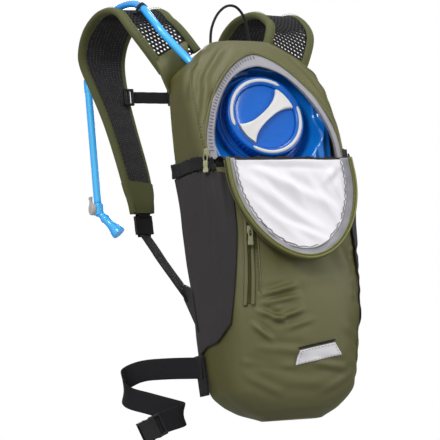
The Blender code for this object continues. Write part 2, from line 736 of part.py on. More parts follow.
# ---------------------------------------------------------------- sternum strap
def make_sternum():
    """Chest strap: sliders in front of both straps, two webs and a clip."""

    def strip(name, start, end, depth):
        line = [Vector((start + (end - start) * k / 4, depth, STERNUM_HEIGHT)) for k in range(5)]
        webbing(name, line, 0.015, "black_webbing", lambda share: Vector((0, 0, -1)))

    for side, sign in (("left", -1), ("right", 1)):
        block("sternum_slider_" + side, (0.014, 0.0050, 0.022),
              (sign * STERNUM_END, STERNUM_Y - 0.0010, STERNUM_HEIGHT), "black_plastic", bevel=0.0010)
    strip("sternum_web_left", 0.0075 - STERNUM_END, -0.0200, STERNUM_Y)
    strip("sternum_web_right", 0.0040, STERNUM_END - 0.0075, STERNUM_Y + 0.0056)
    for name, size, x in (("female", (0.0220, 0.0080, 0.0200), -0.0085),
                          ("male", (0.0160, 0.0070, 0.0180), 0.0110)):
        block("sternum_" + name, size, (x, STERNUM_Y, STERNUM_HEIGHT), "black_plastic", bevel=0.0012)


# ---------------------------------------------------------------- belt
def belt_line():
    """Left belt half: out from the bag, round a bend, back past the bag and folded over at its end."""
    return smooth_path([(-0.0878, -0.0130, 0.0697), (-0.1100, 0.0220, 0.0736), (-0.1297, 0.0450, 0.0745),
                        (-0.1465, 0.0520, 0.0689), (-0.1559, 0.0450, 0.0585), (-0.1568, 0.0330, 0.0441),
                        (-0.1403, 0.0100, 0.0332), (-0.1209, -0.0100, 0.0230), (-0.1135, -0.0165, 0.0190),
                        (-0.1165, -0.0210, 0.0150), (-0.1370, -0.0205, 0.0100)], 3)


def make_belt():
    for side, sign in (("left", -1), ("right", 1)):
        lean = Matrix.Rotation(sign * radians(3.5), 3, "Y")
        block("belt_anchor_" + side, (0.0024, 0.014, 0.048), (sign * 0.0856, -0.0225, 0.0560),
              "black_webbing", lean, 0.0007)
    across = lambda share: Vector((0, 0, 1))
    line = belt_line()
    pivot = Vector((-BELT_PIVOT.x, BELT_PIVOT.y, BELT_PIVOT.z))
    webbing("belt_web_left", line, BELT_WIDTH, "black_webbing", across, pivot)
    block("belt_buckle_female", (0.030, 0.0090, 0.026), line[-1] + Vector((-0.0165, 0.0005, -0.0070)),
          "black_plastic", Matrix.Rotation(radians(-22), 3, "Y"), 0.0015, pivot)
    right = smooth_path([(0.0878, -0.0130, 0.0697), (0.1020, 0.0200, 0.0690), (0.1080, 0.0600, 0.0680),
                         (0.0990, 0.0980, 0.0670), (0.0770, 0.1240, 0.0660), (0.0500, 0.1360, 0.0650)], 4)
    webbing("belt_web_right", right, BELT_WIDTH, "black_webbing", across, BELT_PIVOT)
    make_male_buckle(right[-1], (right[-1] - right[-2]).normalized(), BELT_PIVOT)


def make_male_buckle(end, ahead, hinge):
    """Plug of the belt buckle: a body with a guide tongue and two latch arms that squeeze in."""
    turn = Matrix((ahead, Vector((0, 0, 1)).cross(ahead), Vector((0, 0, 1)))).transposed()
    centre = end + ahead * 0.0080
    block("belt_buckle_male", (0.0120, 0.0070, 0.0260), centre, "black_plastic", turn, 0.0010, hinge)
    for name, sign in (("upper", 1), ("lower", -1)):
        root = centre + ahead * 0.0066 + Vector((0, 0, sign * 0.0095))
        block("latch_arm_" + name, (0.0200, 0.0040, 0.0034), root + ahead * 0.0102, "black_plastic", turn,
              0.0006, root)


# ---------------------------------------------------------------- assembly
def main():
    global PARTS, CUTTERS
    for old in list(bpy.data.objects):
        bpy.data.objects.remove(old, do_unlink=True)
    PARTS = bpy.data.collections.new("hydration_pack")
    CUTTERS = bpy.data.collections.new("cutters")
    bpy.context.scene.collection.children.link(PARTS)
    bpy.context.scene.collection.children.link(CUTTERS)
    make_main_shell()
    make_flap()
    make_body_zip()
    for side, sign in (("left", -1), ("right", 1)):
        make_zip_slider(side, sign)
        make_side_panel(side, sign)
        make_strap(side, sign)
    make_sleeve()
    make_back()
    make_front_details()
    make_pocket_zip()
    make_haul_loop()
    make_reservoir()
    make_fill_port()
    make_hanger()
    make_hose()
    make_bite_valve()
    make_sternum()
    make_belt()
    for made in list(PARTS.objects) + list(CUTTERS.objects):
        made.location += Vector((0, -PAD_FACE, -LUMBAR_HEIGHT))


main()
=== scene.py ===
"""Looks of the hydration pack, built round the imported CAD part.

Positions are first worked out in the bag's own measure, as in the CAD: x from the middle,
y from the back wall, z from the bag's lowest point. SHIFT moves them to the row frame.
"""

import json
from math import cos, pi, radians, sin, tan

import bmesh
import bpy
import numpy as np
from mathutils import Matrix, Vector, noise


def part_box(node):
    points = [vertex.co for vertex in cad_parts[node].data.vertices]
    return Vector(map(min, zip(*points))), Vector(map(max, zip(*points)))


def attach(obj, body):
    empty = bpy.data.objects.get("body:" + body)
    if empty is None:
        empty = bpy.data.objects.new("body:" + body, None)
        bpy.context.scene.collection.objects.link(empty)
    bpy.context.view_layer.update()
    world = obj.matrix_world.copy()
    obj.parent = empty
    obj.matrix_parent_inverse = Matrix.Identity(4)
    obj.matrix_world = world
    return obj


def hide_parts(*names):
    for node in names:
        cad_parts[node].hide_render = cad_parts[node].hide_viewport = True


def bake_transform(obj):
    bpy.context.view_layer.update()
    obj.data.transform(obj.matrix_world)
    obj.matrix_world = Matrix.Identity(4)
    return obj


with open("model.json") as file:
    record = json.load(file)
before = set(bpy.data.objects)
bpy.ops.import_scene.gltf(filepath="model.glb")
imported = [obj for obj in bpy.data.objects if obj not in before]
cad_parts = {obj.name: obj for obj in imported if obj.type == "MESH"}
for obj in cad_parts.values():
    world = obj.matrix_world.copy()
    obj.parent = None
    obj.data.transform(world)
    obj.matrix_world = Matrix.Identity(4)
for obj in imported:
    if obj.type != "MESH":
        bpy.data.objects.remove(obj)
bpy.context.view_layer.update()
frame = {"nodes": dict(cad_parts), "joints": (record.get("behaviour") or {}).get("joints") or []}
NODES = frame["nodes"]
JOINTS = {joint["name"]: joint for joint in frame["joints"]}
shell_low, shell_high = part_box("main_shell")
SHIFT = np.array(((shell_low.x + shell_high.x) / 2, shell_high.y, shell_low.z))

# ---------------------------------------------------------------- bag measures, as in the CAD
BAG_HEIGHT = 0.455
HALF_WIDTH = [(0, 0.036), (0.012, 0.058), (0.035, 0.079), (0.07, 0.084), (0.14, 0.087), (0.25, 0.0925),
              (0.33, 0.0950), (0.38, 0.0940), (0.410, 0.090), (0.432, 0.068), (0.455, 0.040)]
FRONT = [(0, -0.086), (0.012, -0.106), (0.035, -0.120), (0.07, -0.130), (0.12, -0.136), (0.20, -0.129),
         (0.25, -0.119), (0.295, -0.105), (0.36, -0.088), (0.42, -0.068), (0.44, -0.058), (0.455, -0.044)]
BACK = [(0, -0.058), (0.015, -0.026), (0.045, -0.003), (0.065, 0), (0.43, 0), (0.455, -0.006)]
SQUARENESS = [(0, 2.4), (0.10, 3.0), (0.20, 3.8), (0.27, 6.0), (0.33, 6.0), (0.40, 3.4), (0.455, 2.6)]
BACK_SQUARENESS = 6.0
FOLD_HEIGHT = 0.297
FOLD_Y = -0.110
FOLD_TRAVEL = radians(JOINTS["flap_fold"]["range_deg"][1])
OPENING_HALF_WIDTH = 0.0885
OPENING_SIDE = 0.020
OPENING_ARCH = 0.118
ARCH_POWER = 1.6
FLAP_START = 0.004
FLAP_INSET = 0.0056
FLAP_SHORT = 0.0150
FLAP_POWER = 1.9
PORT = Vector((0.004, -0.0508, 0.354))
PORT_LEAN = radians(8)
GRIP_SLOPE = radians(38)
HOSE_RADIUS = 0.00475
HOSE_JOINT = Vector((-0.1150, 0.1765, 0.452))
HOSE_END_HEIGHT = 0.300
HOSE_ON_STRAP = (0.05, 0.56)
VALVE_DIRECTION = Vector((0.50, -0.38, -0.78)).normalized()
STRAP_LINE = [(-0.0690, -0.0040, 0.4380), (-0.0835, 0.0020, 0.4640), (-0.0945, 0.0145, 0.4880),
              (-0.0955, 0.0385, 0.5095), (-0.0960, 0.0700, 0.5200), (-0.0965, 0.1050, 0.5215),
              (-0.0975, 0.1380, 0.5120), (-0.0979, 0.1590, 0.4950), (-0.0970, 0.1665, 0.4730),
              (-0.0960, 0.1545, 0.4380), (-0.0945, 0.1317, 0.3889), (-0.0920, 0.1110, 0.3334),
              (-0.0900, 0.1000, 0.2890), (-0.0893, 0.0995, 0.2723)]
STRAP_WIDTH = [(0, 0.061), (0.50, 0.066), (0.62, 0.058), (0.75, 0.049), (0.9, 0.044), (1, 0.032)]
STRAP_THICKNESS = 0.0070
STRAP_TILT = [(0, 35), (0.16, 8), (0.30, 0), (1, 0)]
STRAP_TWIST = [(0, 0), (0.30, 2), (0.50, 11), (0.68, 22), (0.9, 20), (1, 15)]
STERNUM_HEIGHT = 0.430
STERNUM_Y = 0.1450
STERNUM_END = 0.0745
BELT_WIDTH = 0.025
ADJUST_WIDTH = 0.018
POCKET_TOP = Vector((-0.0605, 0, 0.2160))
POCKET_LOW = Vector((-0.0680, 0, 0.1330))
HOSE_ASIDE = [(0, 0), (0.20, 0.002), (0.35, 0.005), (0.46, 0.010), (0.58, 0.019)]
UPRIGHT = Vector((0, 0, 1))
STILL = Matrix.Identity(3)
SIDES = (("left", -1), ("right", 1))


# ---------------------------------------------------------------- curves
def smooth_value(keys, at):
    """Value of a smooth curve through (position, value) pairs, without overshoot."""
    if at <= keys[0][0]:
        return keys[0][1]
    if at >= keys[-1][0]:
        return keys[-1][1]
    rises = [(b[1] - a[1]) / (b[0] - a[0]) for a, b in zip(keys, keys[1:])]
    slopes = [rises[0]]
    for before, after in zip(rises, rises[1:]):
        slopes.append(0 if before * after <= 0 else 2 * before * after / (before + after))
    slopes.append(rises[-1])
    for i, (a, b) in enumerate(zip(keys, keys[1:])):
        if at <= b[0]:
            span = b[0] - a[0]
            t = (at - a[0]) / span
            rise = a[1] * (2 * t**3 - 3 * t**2 + 1) + b[1] * (3 * t**2 - 2 * t**3)
            bend = slopes[i] * (t**3 - 2 * t**2 + t) + slopes[i + 1] * (t**3 - t**2)
            return rise + bend * span


def curve_of(keys):
    """The same smooth curve as a fast lookup for arrays."""
    at = np.linspace(keys[0][0], keys[-1][0], 800)
    value = np.array([smooth_value(keys, a) for a in at])
    return lambda wanted: np.interp(wanted, at, value)


half_width, front_depth, back_depth, squareness = map(curve_of, (HALF_WIDTH, FRONT, BACK, SQUARENESS))


def smooth_path(points, steps):
    """Catmull-Rom path through the points."""
    pts = [Vector(p) for p in points]
    pts = [pts[0] * 2 - pts[1]] + pts + [pts[-1] * 2 - pts[-2]]
    line = []
    for a, b, c, d in zip(pts, pts[1:], pts[2:], pts[3:]):
        for k in range(steps):
            t = k / steps
            line.append(((2 * b) + (c - a) * t + (2 * a - 5 * b + 4 * c - d) * t**2
                         + (3 * b - a - 3 * c + d) * t**3) / 2)
    return line + [pts[-2]]


def as_array(points):
    return np.array([tuple(p) for p in points], float)


def unit(vectors):
    """The same vectors at length one."""
    return vectors / np.maximum(np.linalg.norm(vectors, axis=-1, keepdims=True), 1e-12)


def resample(points, count):
    """count points at even distances along an array of points."""
    gone = np.concatenate(([0], np.cumsum(np.linalg.norm(np.diff(points, axis=0), axis=1))))
    want = np.linspace(0, gone[-1], count)
    return np.stack([np.interp(want, gone, column) for column in points.T], -1)


def even_path(line, count):
    """The same for a list of points, as vectors."""
    return [Vector(p) for p in resample(as_array(line), count)]


def length_of(line):
    return sum((Vector(b) - Vector(a)).length for a, b in zip(line, line[1:]))


# ---------------------------------------------------------------- the bag's surface
def signed_power(base, exponent):
    return np.sign(base) * np.abs(base) ** exponent


def bag_points(angle, height):
    """Points of the bag's surface. angle runs from +X (0) over the back (90) to -X and the front."""
    angle, height = np.broadcast_arrays(np.asarray(angle, float), np.asarray(height, float))
    front, back = front_depth(height), back_depth(height)
    square = np.where(np.sin(angle) < 0, squareness(height), BACK_SQUARENESS)
    x = half_width(height) * signed_power(np.cos(angle), 2 / square)
    y = (front + back) / 2 + (back - front) / 2 * signed_power(np.sin(angle), 2 / square)
    return np.stack((x, y, height), -1)


def front_y(x, height):
    half, front, back = half_width(height), front_depth(height), back_depth(height)
    square = squareness(height)
    inside = np.clip(1 - np.minimum(1, np.abs(x) / half) ** square, 1e-9, 1)
    return (front + back) / 2 - (back - front) / 2 * inside ** (1 / square)


def front_points(x, height):
    x, height = np.broadcast_arrays(np.asarray(x, float), np.asarray(height, float))
    return np.stack((x, front_y(x, height), height), -1)


def front_normals(x, height):
    x, height = np.broadcast_arrays(np.asarray(x, float), np.asarray(height, float))
    step = 0.0006
    across = (front_y(x + step, height) - front_y(x - step, height)) / (2 * step)
    up = (front_y(x, height + step) - front_y(x, height - step)) / (2 * step)
    return unit(np.stack((across, -np.ones_like(across), up), -1))


def off_front(x, height, outset):
    """Points that stand off the plain front by outset, inwards where it is negative."""
    return front_points(x, height) + front_normals(x, height) * np.asarray(outset)[..., None]


def arch(x, reach, rise, power):
    """Height above x of an arch that stands on the opening's straight sides."""
    share = np.minimum(1, np.abs(x) / reach)
    return FOLD_HEIGHT + OPENING_SIDE + rise * (1 - share ** power) ** (1 / power)


def arch_outline(reach, power, top, start, count, fine):
    """An arch as (x, height) rows, from its left lower end over the top to the right."""
    x = -reach * signed_power(np.cos(pi * np.linspace(0, 1, fine)), 2 / power)
    line = np.stack((x, top(x)), -1)
    foot = FOLD_HEIGHT + start
    return resample(np.concatenate(([(-reach, foot)], line, [(reach, foot)])), count)


def rim_top(x, inset=0.0):
    """Height of the opening's arch above x."""
    return arch(x, OPENING_HALF_WIDTH - inset, OPENING_ARCH - inset, ARCH_POWER)


def rim_outline(inset, start, count):
    """The opening's edge as (x, height) rows."""
    return arch_outline(OPENING_HALF_WIDTH - inset, ARCH_POWER, lambda x: rim_top(x, inset), start, count,
                        count * 4)


# Folds in the fabric: two (x, z) ends on the front, half width and height of the fold.
FRONT_FOLDS = [
    (-0.056, 0.137, -0.014, 0.146, 0.0034, 0.0040), (-0.056, 0.128, -0.010, 0.135, 0.0032, 0.0034),
    (-0.060, 0.120, -0.030, 0.106, 0.0030, 0.0042), (-0.048, 0.108, -0.008, 0.119, 0.0034, 0.0036),
    (-0.066, 0.106, -0.046, 0.086, 0.0032, 0.0034), (-0.034, 0.098, 0.006, 0.108, 0.0036, 0.0016),
    (-0.062, 0.080, -0.004, 0.072, 0.0044, 0.0022), (-0.074, 0.066, -0.018, 0.056, 0.0036, 0.0022),
    (-0.048, 0.146, 0.040, 0.158, 0.0070, 0.0010), (0.072, 0.190, 0.089, 0.184, 0.0026, 0.0030),
    (0.069, 0.178, 0.089, 0.171, 0.0026, 0.0034), (0.071, 0.166, 0.089, 0.158, 0.0028, 0.0030),
    (0.066, 0.152, 0.088, 0.143, 0.0034, 0.0026), (0.060, 0.136, 0.086, 0.126, 0.0040, 0.0024),
    (-0.040, 0.042, 0.044, 0.036, 0.0060, 0.0014), (-0.070, 0.050, -0.034, 0.028, 0.0044, 0.0018),
    (0.014, 0.026, 0.064, 0.050, 0.0046, 0.0012), (0.046, 0.100, 0.082, 0.078, 0.0054, 0.0018),
    (0.058, 0.062, 0.080, 0.044, 0.0044, 0.0016), (-0.086, 0.345, -0.068, 0.404, 0.0044, 0.0028),
    (-0.090, 0.380, -0.060, 0.436, 0.0042, 0.0030), (-0.078, 0.392, -0.034, 0.444, 0.0040, 0.0026),
    (0.086, 0.345, 0.064, 0.405, 0.0044, 0.0026), (0.089, 0.385, 0.052, 0.438, 0.0042, 0.0028),
    (0.034, 0.225, 0.064, 0.150, 0.0090, 0.0018), (-0.016, 0.215, -0.006, 0.150, 0.0090, 0.0014),
    (-0.078, 0.330, -0.084, 0.300, 0.0040, 0.0020), (0.000, 0.060, 0.050, 0.052, 0.0040, 0.0018),
]


def fabric_lift(points):
    """How far the fabric stands off the plain surface at these points: folds and slow waves."""
    flat = points.reshape(-1, 3)
    lift = np.zeros(len(flat))
    for x0, z0, x1, z1, width, rise in FRONT_FOLDS:
        a, b = front_points(x0, z0), front_points(x1, z1)
        run = b - a
        share = np.clip(((flat - a) @ run) / (run @ run), 0, 1)
        gap = np.linalg.norm(flat - a - share[:, None] * run, axis=1)
        taper = np.sin(pi * np.clip(share * 0.9 + 0.05, 0, 1))
        crest = np.exp(-(gap / width) ** 2) - 0.5 * np.exp(-((gap - 1.8 * width) / width) ** 2)
        lift += 1.25 * rise * taper * crest
    slow = np.array([noise.noise(Vector(p) * 22) for p in flat])
    quick = np.array([noise.noise(Vector((p[0], p[1], p[2] * 0.7)) * 70) for p in flat])
    return (lift + 0.0009 * slow + 0.00035 * quick).reshape(points.shape[:-1])


def on_front(x, height, outset):
    """Points on the fabric of the front, folds included, stood off by outset."""
    base = front_points(x, height)
    return base + front_normals(x, height) * (fabric_lift(base) + outset)[..., None]


def on_bag(angle, height, outset):
    """The same for any side of the bag, by angle."""
    base = bag_points(angle, height)
    angle, height = np.asarray(angle), np.asarray(height)
    across = bag_points(angle + 0.004, height) - bag_points(angle - 0.004, height)
    up = bag_points(angle, height + 0.001) - bag_points(angle, height - 0.001)
    return base + unit(np.cross(across, up)) * (fabric_lift(base) + outset)[..., None]


# ---------------------------------------------------------------- materials
MATERIALS = {}
WAVE = 0.314  # scale of a wave texture with one band to the metre


class Shader:
    """A small wrapper that adds nodes to one material."""

    def __init__(self, name, colour, rough=0.7, metal=0.0, **inputs):
        self.material = bpy.data.materials.new(name)
        self.material.use_nodes = True
        self.material.diffuse_color = (*colour, 1)
        self.tree = self.material.node_tree
        self.bsdf = self.tree.nodes["Principled BSDF"]
        self.bsdf.inputs["Base Color"].default_value = (*colour, 1)
        self.bsdf.inputs["Roughness"].default_value = rough
        self.bsdf.inputs["Metallic"].default_value = metal
        for key, value in inputs.items():
            self.bsdf.inputs[key.replace("_", " ")].default_value = value
        self.colour = colour
        MATERIALS[name] = self.material
        self.coords = self.add("ShaderNodeTexCoord")

    def add(self, kind, **values):
        node = self.tree.nodes.new(kind)
        for key, value in values.items():
            if hasattr(node, key):
                setattr(node, key, value)
            else:
                node.inputs[key.replace("_", " ")].default_value = value
        return node

    def join(self, out, into):
        self.tree.links.new(out, into)

    def place(self, scale, source="UV", turn=0.0):
        mapping = self.add("ShaderNodeMapping")
        mapping.inputs["Scale"].default_value = scale if hasattr(scale, "__len__") else (scale,) * 3
        mapping.inputs["Rotation"].default_value = (0, 0, turn)
        self.join(self.coords.outputs[source], mapping.inputs["Vector"])
        return mapping.outputs["Vector"]

    def noise(self, scale, source="Object", detail=3.0, rough=0.5):
        node = self.add("ShaderNodeTexNoise", Scale=scale, Detail=detail, Roughness=rough)
        self.join(self.coords.outputs[source], node.inputs["Vector"])
        return node.outputs["Fac"]

    def wave(self, vector, direction="X", profile="SIN"):
        node = self.add("ShaderNodeTexWave", wave_type="BANDS", bands_direction=direction, wave_profile=profile)
        node.inputs["Scale"].default_value = 1.0
        self.join(vector, node.inputs["Vector"])
        return node.outputs["Fac"]

    def mix(self, fac, low, high):
        """A value or colour between low and high, each a number, colour or socket."""
        node = self.add("ShaderNodeMix", data_type="RGBA")
        for key, value in ((6, low), (7, high)):
            if hasattr(value, "is_output"):
                self.join(value, node.inputs[key])
            else:
                node.inputs[key].default_value = (*value, 1) if hasattr(value, "__len__") else (value,) * 3 + (1,)
        if hasattr(fac, "is_output"):
            self.join(fac, node.inputs[0])
        else:
            node.inputs[0].default_value = fac
        return node.outputs[2]

    def maths(self, kind, a, b=0.0):
        node = self.add("ShaderNodeMath", operation=kind)
        for slot, value in ((0, a), (1, b)):
            if hasattr(value, "is_output"):
                self.join(value, node.inputs[slot])
            else:
                node.inputs[slot].default_value = value
        return node.outputs[0]

    def ramp(self, fac, *stops):
        node = self.add("ShaderNodeValToRGB")
        ramp = node.color_ramp
        while len(ramp.elements) < len(stops):
            ramp.elements.new(0.5)
        for element, (at, colour) in zip(ramp.elements, stops):
            element.position = at
            element.color = (*colour, 1) if hasattr(colour, "__len__") else (colour,) * 3 + (1,)
        self.join(fac, node.inputs["Fac"])
        return node.outputs["Color"]

    def bump(self, height, depth, strength=1.0):
        node = self.add("ShaderNodeBump", Strength=strength, Distance=depth)
        self.join(height, node.inputs["Height"])
        last = self.bsdf.inputs["Normal"]
        if last.is_linked:
            self.join(last.links[0].from_socket, node.inputs["Normal"])
        self.join(node.outputs["Normal"], last)

    def paint(self, colour):
        self.join(colour, self.bsdf.inputs["Base Color"])

    def roughen(self, value):
        self.join(value, self.bsdf.inputs["Roughness"])


def shade(colour, factor):
    return tuple(min(1.0, c * factor) for c in colour)


def fabric(name, colour, thread, depth=0.00012, rough=0.75, sheen=0.25, vary=0.16, turned=1.0):
    """Plain weave in metres of UV, with slow colour changes, painted shade in the gaps between threads, and
    painted shade where the surface turns from the view, down to the factor turned.
    """
    s = Shader(name, colour, rough, Sheen_Weight=sheen, Sheen_Roughness=0.5)
    s.bsdf.inputs["Sheen Tint"].default_value = (*shade(colour, 3.0), 1)
    weave = s.place(WAVE / thread)
    warp, weft = s.wave(weave, "X"), s.wave(weave, "Y")
    height = s.maths("MULTIPLY", warp, weft)
    s.bump(height, depth)
    slow = s.noise(14.0, detail=4.0)
    fine = s.noise(900.0, detail=2.0)
    low, high = shade(colour, 1 - vary), shade(colour, 1 + vary)
    tone = s.mix(slow, low, high)
    # Painted shade: the weave's gaps between threads darkened to 0.72 of the colour.
    weave_gap_shade = s.mix(s.maths("MULTIPLY", height, 0.55), shade(colour, 0.72), tone)
    cloth = s.mix(s.maths("MULTIPLY", fine, 0.35), s.mix(0.65, weave_gap_shade, tone), low)
    if turned < 1:
        # Painted shade: where the surface turns from the view, the colour darkens by turned, standing in for the
        # fall-off of a soft front light.
        facing_away = s.add("ShaderNodeLayerWeight", Blend=0.5).outputs["Facing"]
        dark = s.ramp(facing_away, (0.09, 0.0), (0.58, 1.0))
        cloth = s.mix(dark, cloth, (colour[0] * turned, colour[1] * turned, colour[2] * turned * turned))
    s.paint(cloth)
    s.roughen(s.ramp(fine, (0.3, rough - 0.08), (0.7, min(1, rough + 0.08))))


def webbing_look(name, colour):
    """Ribbed woven tape: chevrons along its length, with painted shade in the grooves and a painted highlight on
    the crests.
    """
    s = Shader(name, colour, 0.72, Sheen_Weight=0.05, Sheen_Roughness=0.4, Specular_IOR_Level=0.3)
    scale = (WAVE / 0.0018, WAVE / 0.0018, 1)
    rows, cross = (s.wave(s.place(scale, turn=turn), "X") for turn in (0.7, -0.7))
    height = s.maths("MAXIMUM", rows, cross)
    s.bump(height, 0.00025)
    # Painted light: grooves darkened to 0.55 as shade, crests lightened to 1.6 as a highlight.
    tone = s.mix(height, shade(colour, 0.55), shade(colour, 1.6))
    s.paint(s.mix(s.noise(30.0), tone, colour))


def plastic(name, colour, rough=0.42):
    """Moulded plastic: fine spark texture, faint flow marks and a painted highlight along sharp edges."""
    s = Shader(name, colour, rough, Specular_IOR_Level=0.5)
    fine = s.noise(2200.0, detail=2.0)
    s.bump(fine, 0.00004)
    # Painted highlight: sharp edges lightened towards 1.8 times the colour.
    edge_sharpness = s.add("ShaderNodeNewGeometry").outputs["Pointiness"]
    edge = s.ramp(edge_sharpness, (0.50, 0.0), (0.62, 1.0))
    tone = s.mix(s.noise(14.0), shade(colour, 0.88), shade(colour, 1.12))
    s.paint(s.mix(s.maths("MULTIPLY", edge, 0.35), tone, shade(colour, 1.8)))
    s.roughen(s.ramp(s.noise(40.0), (0.3, rough - 0.07), (0.7, rough + 0.09)))


def make_materials():
    # turned=0.50 paints shade: the olive fabric darkens to half where it turns from the view.
    fabric("olive_fabric", (0.168, 0.162, 0.062), 0.0011, rough=0.50, sheen=0.12, turned=0.50)
    fabric("olive_binding", (0.100, 0.108, 0.034), 0.0016, 0.0003, rough=0.78)
    fabric("charcoal_stretch", (0.040, 0.034, 0.038), 0.0009, 0.0001, rough=0.82, sheen=0.06)
    fabric("black_knit", (0.013, 0.012, 0.014), 0.0014, 0.0002, rough=0.88, sheen=0.03)
    fabric("grey_lining", (0.93, 0.91, 0.95), 0.0008, 0.00006, rough=0.52, sheen=0.15, vary=0.03)
    # Painted shade: the pale lining darkened to grey for the shadowed inside of the bag.
    fabric("shaded_inner_lining", (0.24, 0.235, 0.24), 0.0008, 0.00006, rough=0.8, sheen=0.1, vary=0.1)
    fabric("zip_tape", (0.44, 0.43, 0.47), 0.0012, 0.00025, rough=0.85, vary=0.22)
    fabric("tape_shadow", (0.25, 0.245, 0.28), 0.0012, 0.0002, rough=0.85)
    fabric("dark_sleeve", (0.040, 0.037, 0.036), 0.0012, 0.0002, rough=0.85, sheen=0.1)
    fabric("coil_green", (0.30, 0.31, 0.080), 0.0010, 0.0002, rough=0.55)
    fabric("khaki_cord", (0.34, 0.34, 0.19), 0.0008, 0.0003, rough=0.7)
    webbing_look("black_webbing", (0.009, 0.008, 0.010))
    plastic("black_plastic", (0.010, 0.010, 0.011))
    plastic("cap_white", (0.80, 0.79, 0.77), 0.38)
    plastic("valve_grey", (0.56, 0.54, 0.52), 0.40)
    plastic("seal_rubber", (0.02, 0.02, 0.02), 0.65)
    plastic("khaki_plastic", (0.33, 0.33, 0.19), 0.5)
    mesh = Shader("black_mesh", (0.014, 0.013, 0.015), 0.88, Sheen_Weight=0.2)
    cells = mesh.add("ShaderNodeTexVoronoi", Scale=1.0, feature="DISTANCE_TO_EDGE")
    mesh.join(mesh.place(420), cells.inputs["Vector"])
    holes = mesh.ramp(cells.outputs["Distance"], (0.05, 1.0), (0.32, 0.0))
    mesh.bump(holes, 0.0006)
    mesh.paint(mesh.mix(holes, (0.004, 0.004, 0.004), (0.026, 0.024, 0.027)))
    spacer = Shader("spacer_knit", (0.016, 0.014, 0.017), 0.90, Sheen_Weight=0.05)
    dots = spacer.add("ShaderNodeTexVoronoi", Scale=1.0, Randomness=0.25)
    spacer.join(spacer.place(330), dots.inputs["Vector"])
    pits = spacer.ramp(dots.outputs["Distance"], (0.16, 1.0), (0.30, 0.0))
    spacer.bump(spacer.maths("MULTIPLY", pits, -1.0), 0.0006)
    spacer.paint(spacer.mix(spacer.maths("MULTIPLY", pits, spacer.noise(60.0)), (0.016, 0.014, 0.017),
                            (0.16, 0.155, 0.165)))
    film_material()
    cap_material()
    hose_material()
    patch = Shader("reflective_white", (0.86, 0.85, 0.88), 0.30, Sheen_Weight=0.1)
    beads = patch.add("ShaderNodeTexVoronoi", Scale=900.0)
    patch.join(patch.coords.outputs["Object"], beads.inputs["Vector"])
    patch.bump(beads.outputs["Distance"], 0.00008)
    patch.paint(patch.mix(patch.noise(60.0), (0.80, 0.79, 0.83), (0.90, 0.89, 0.91)))
    floor = Shader("studio_floor", (0.90, 0.90, 0.90), 0.85)
    seen = floor.add("ShaderNodeLightPath").outputs["Is Camera Ray"]
    pale = floor.mix(floor.noise(1.5), (0.80, 0.80, 0.80), (0.83, 0.83, 0.83))
    floor.paint(floor.mix(seen, (0.30, 0.30, 0.30), pale))
    floor.bsdf.inputs["Emission Color"].default_value = (1, 1, 1, 1)
    floor.join(floor.maths("MULTIPLY", seen, 0.30), floor.bsdf.inputs["Emission Strength"])


def film_material():
    """Welded blue film: glossy, with painted light by the view angle (paler face-on, deeper where it turns away,
    a bright painted reflection at grazing angles) and small ripples.
    """
    s = Shader("reservoir_film", (0.012, 0.150, 0.62), 0.16, Coat_Weight=0.9, Coat_Roughness=0.06)
    # Painted light: the colour follows the view angle, paler face-on, deeper at middle angles, with a bright
    # painted reflection at the grazing rim.
    facing = s.add("ShaderNodeLayerWeight", Blend=0.35).outputs["Facing"]
    tone = s.ramp(facing, (0.0, (0.004, 0.220, 0.84)), (0.5, (0.003, 0.150, 0.64)), (0.95, (0.04, 0.42, 0.98)))
    deep = s.ramp(s.noise(18.0, detail=4.0), (0.35, (0.001, 0.080, 0.38)), (0.65, (0.020, 0.38, 0.98)))
    s.paint(s.mix(0.32, tone, deep))
    s.bump(s.noise(75.0, detail=3.0), 0.0012, 0.55)
    s.roughen(s.ramp(s.noise(40.0), (0.3, 0.10), (0.75, 0.26)))


def cap_material():
    """Glossy blue plastic of the port and cap, with painted light by the view angle: deeper at middle angles and
    a paler painted reflection where it turns away.
    """
    s = Shader("cap_blue", (0.001, 0.150, 0.68), 0.26, Coat_Weight=0.4, Coat_Roughness=0.10,
               Specular_IOR_Level=0.3)
    # Painted reflection: paler blue where the surface turns from the view, deeper at middle angles.
    facing = s.add("ShaderNodeLayerWeight", Blend=0.3).outputs["Facing"]
    s.paint(s.ramp(facing, (0.0, (0.0, 0.150, 0.68)), (0.45, (0.0, 0.100, 0.50)), (0.9, (0.02, 0.38, 0.98))))
    s.bump(s.noise(1500.0), 0.00003)
    s.roughen(s.ramp(s.noise(30.0), (0.3, 0.22), (0.75, 0.36)))


def hose_material():
    """Translucent blue tube: a painted highlight bright in the middle, painted shade deeper towards its sides,
    and a faint painted glow.
    """
    s = Shader("hose_blue", (0.02, 0.30, 0.88), 0.14, Coat_Weight=0.8, Coat_Roughness=0.05,
               Transmission_Weight=0.05, Subsurface_Weight=0.08)
    s.bsdf.inputs["Subsurface Radius"].default_value = (0.002, 0.006, 0.012)
    # Painted light: pale bright blue face-on as a highlight, deeper blue towards the grazing sides as shade.
    facing = s.add("ShaderNodeLayerWeight", Blend=0.5).outputs["Facing"]
    s.paint(s.ramp(facing, (0.0, (0.16, 0.68, 1.0)), (0.40, (0.006, 0.38, 0.98)), (1.0, (0.002, 0.22, 0.80))))
    s.bump(s.noise(200.0), 0.0001, 0.4)
    # Painted glow: a faint blue emission lightens the tube, though it is no lamp.
    s.bsdf.inputs["Emission Color"].default_value = (0.0, 0.42, 0.95, 1)
    s.bsdf.inputs["Emission Strength"].default_value = 0.22


def put(name, data):
    thing = bpy.data.objects.new(name, data)
    bpy.context.scene.collection.objects.link(thing)
    return thing


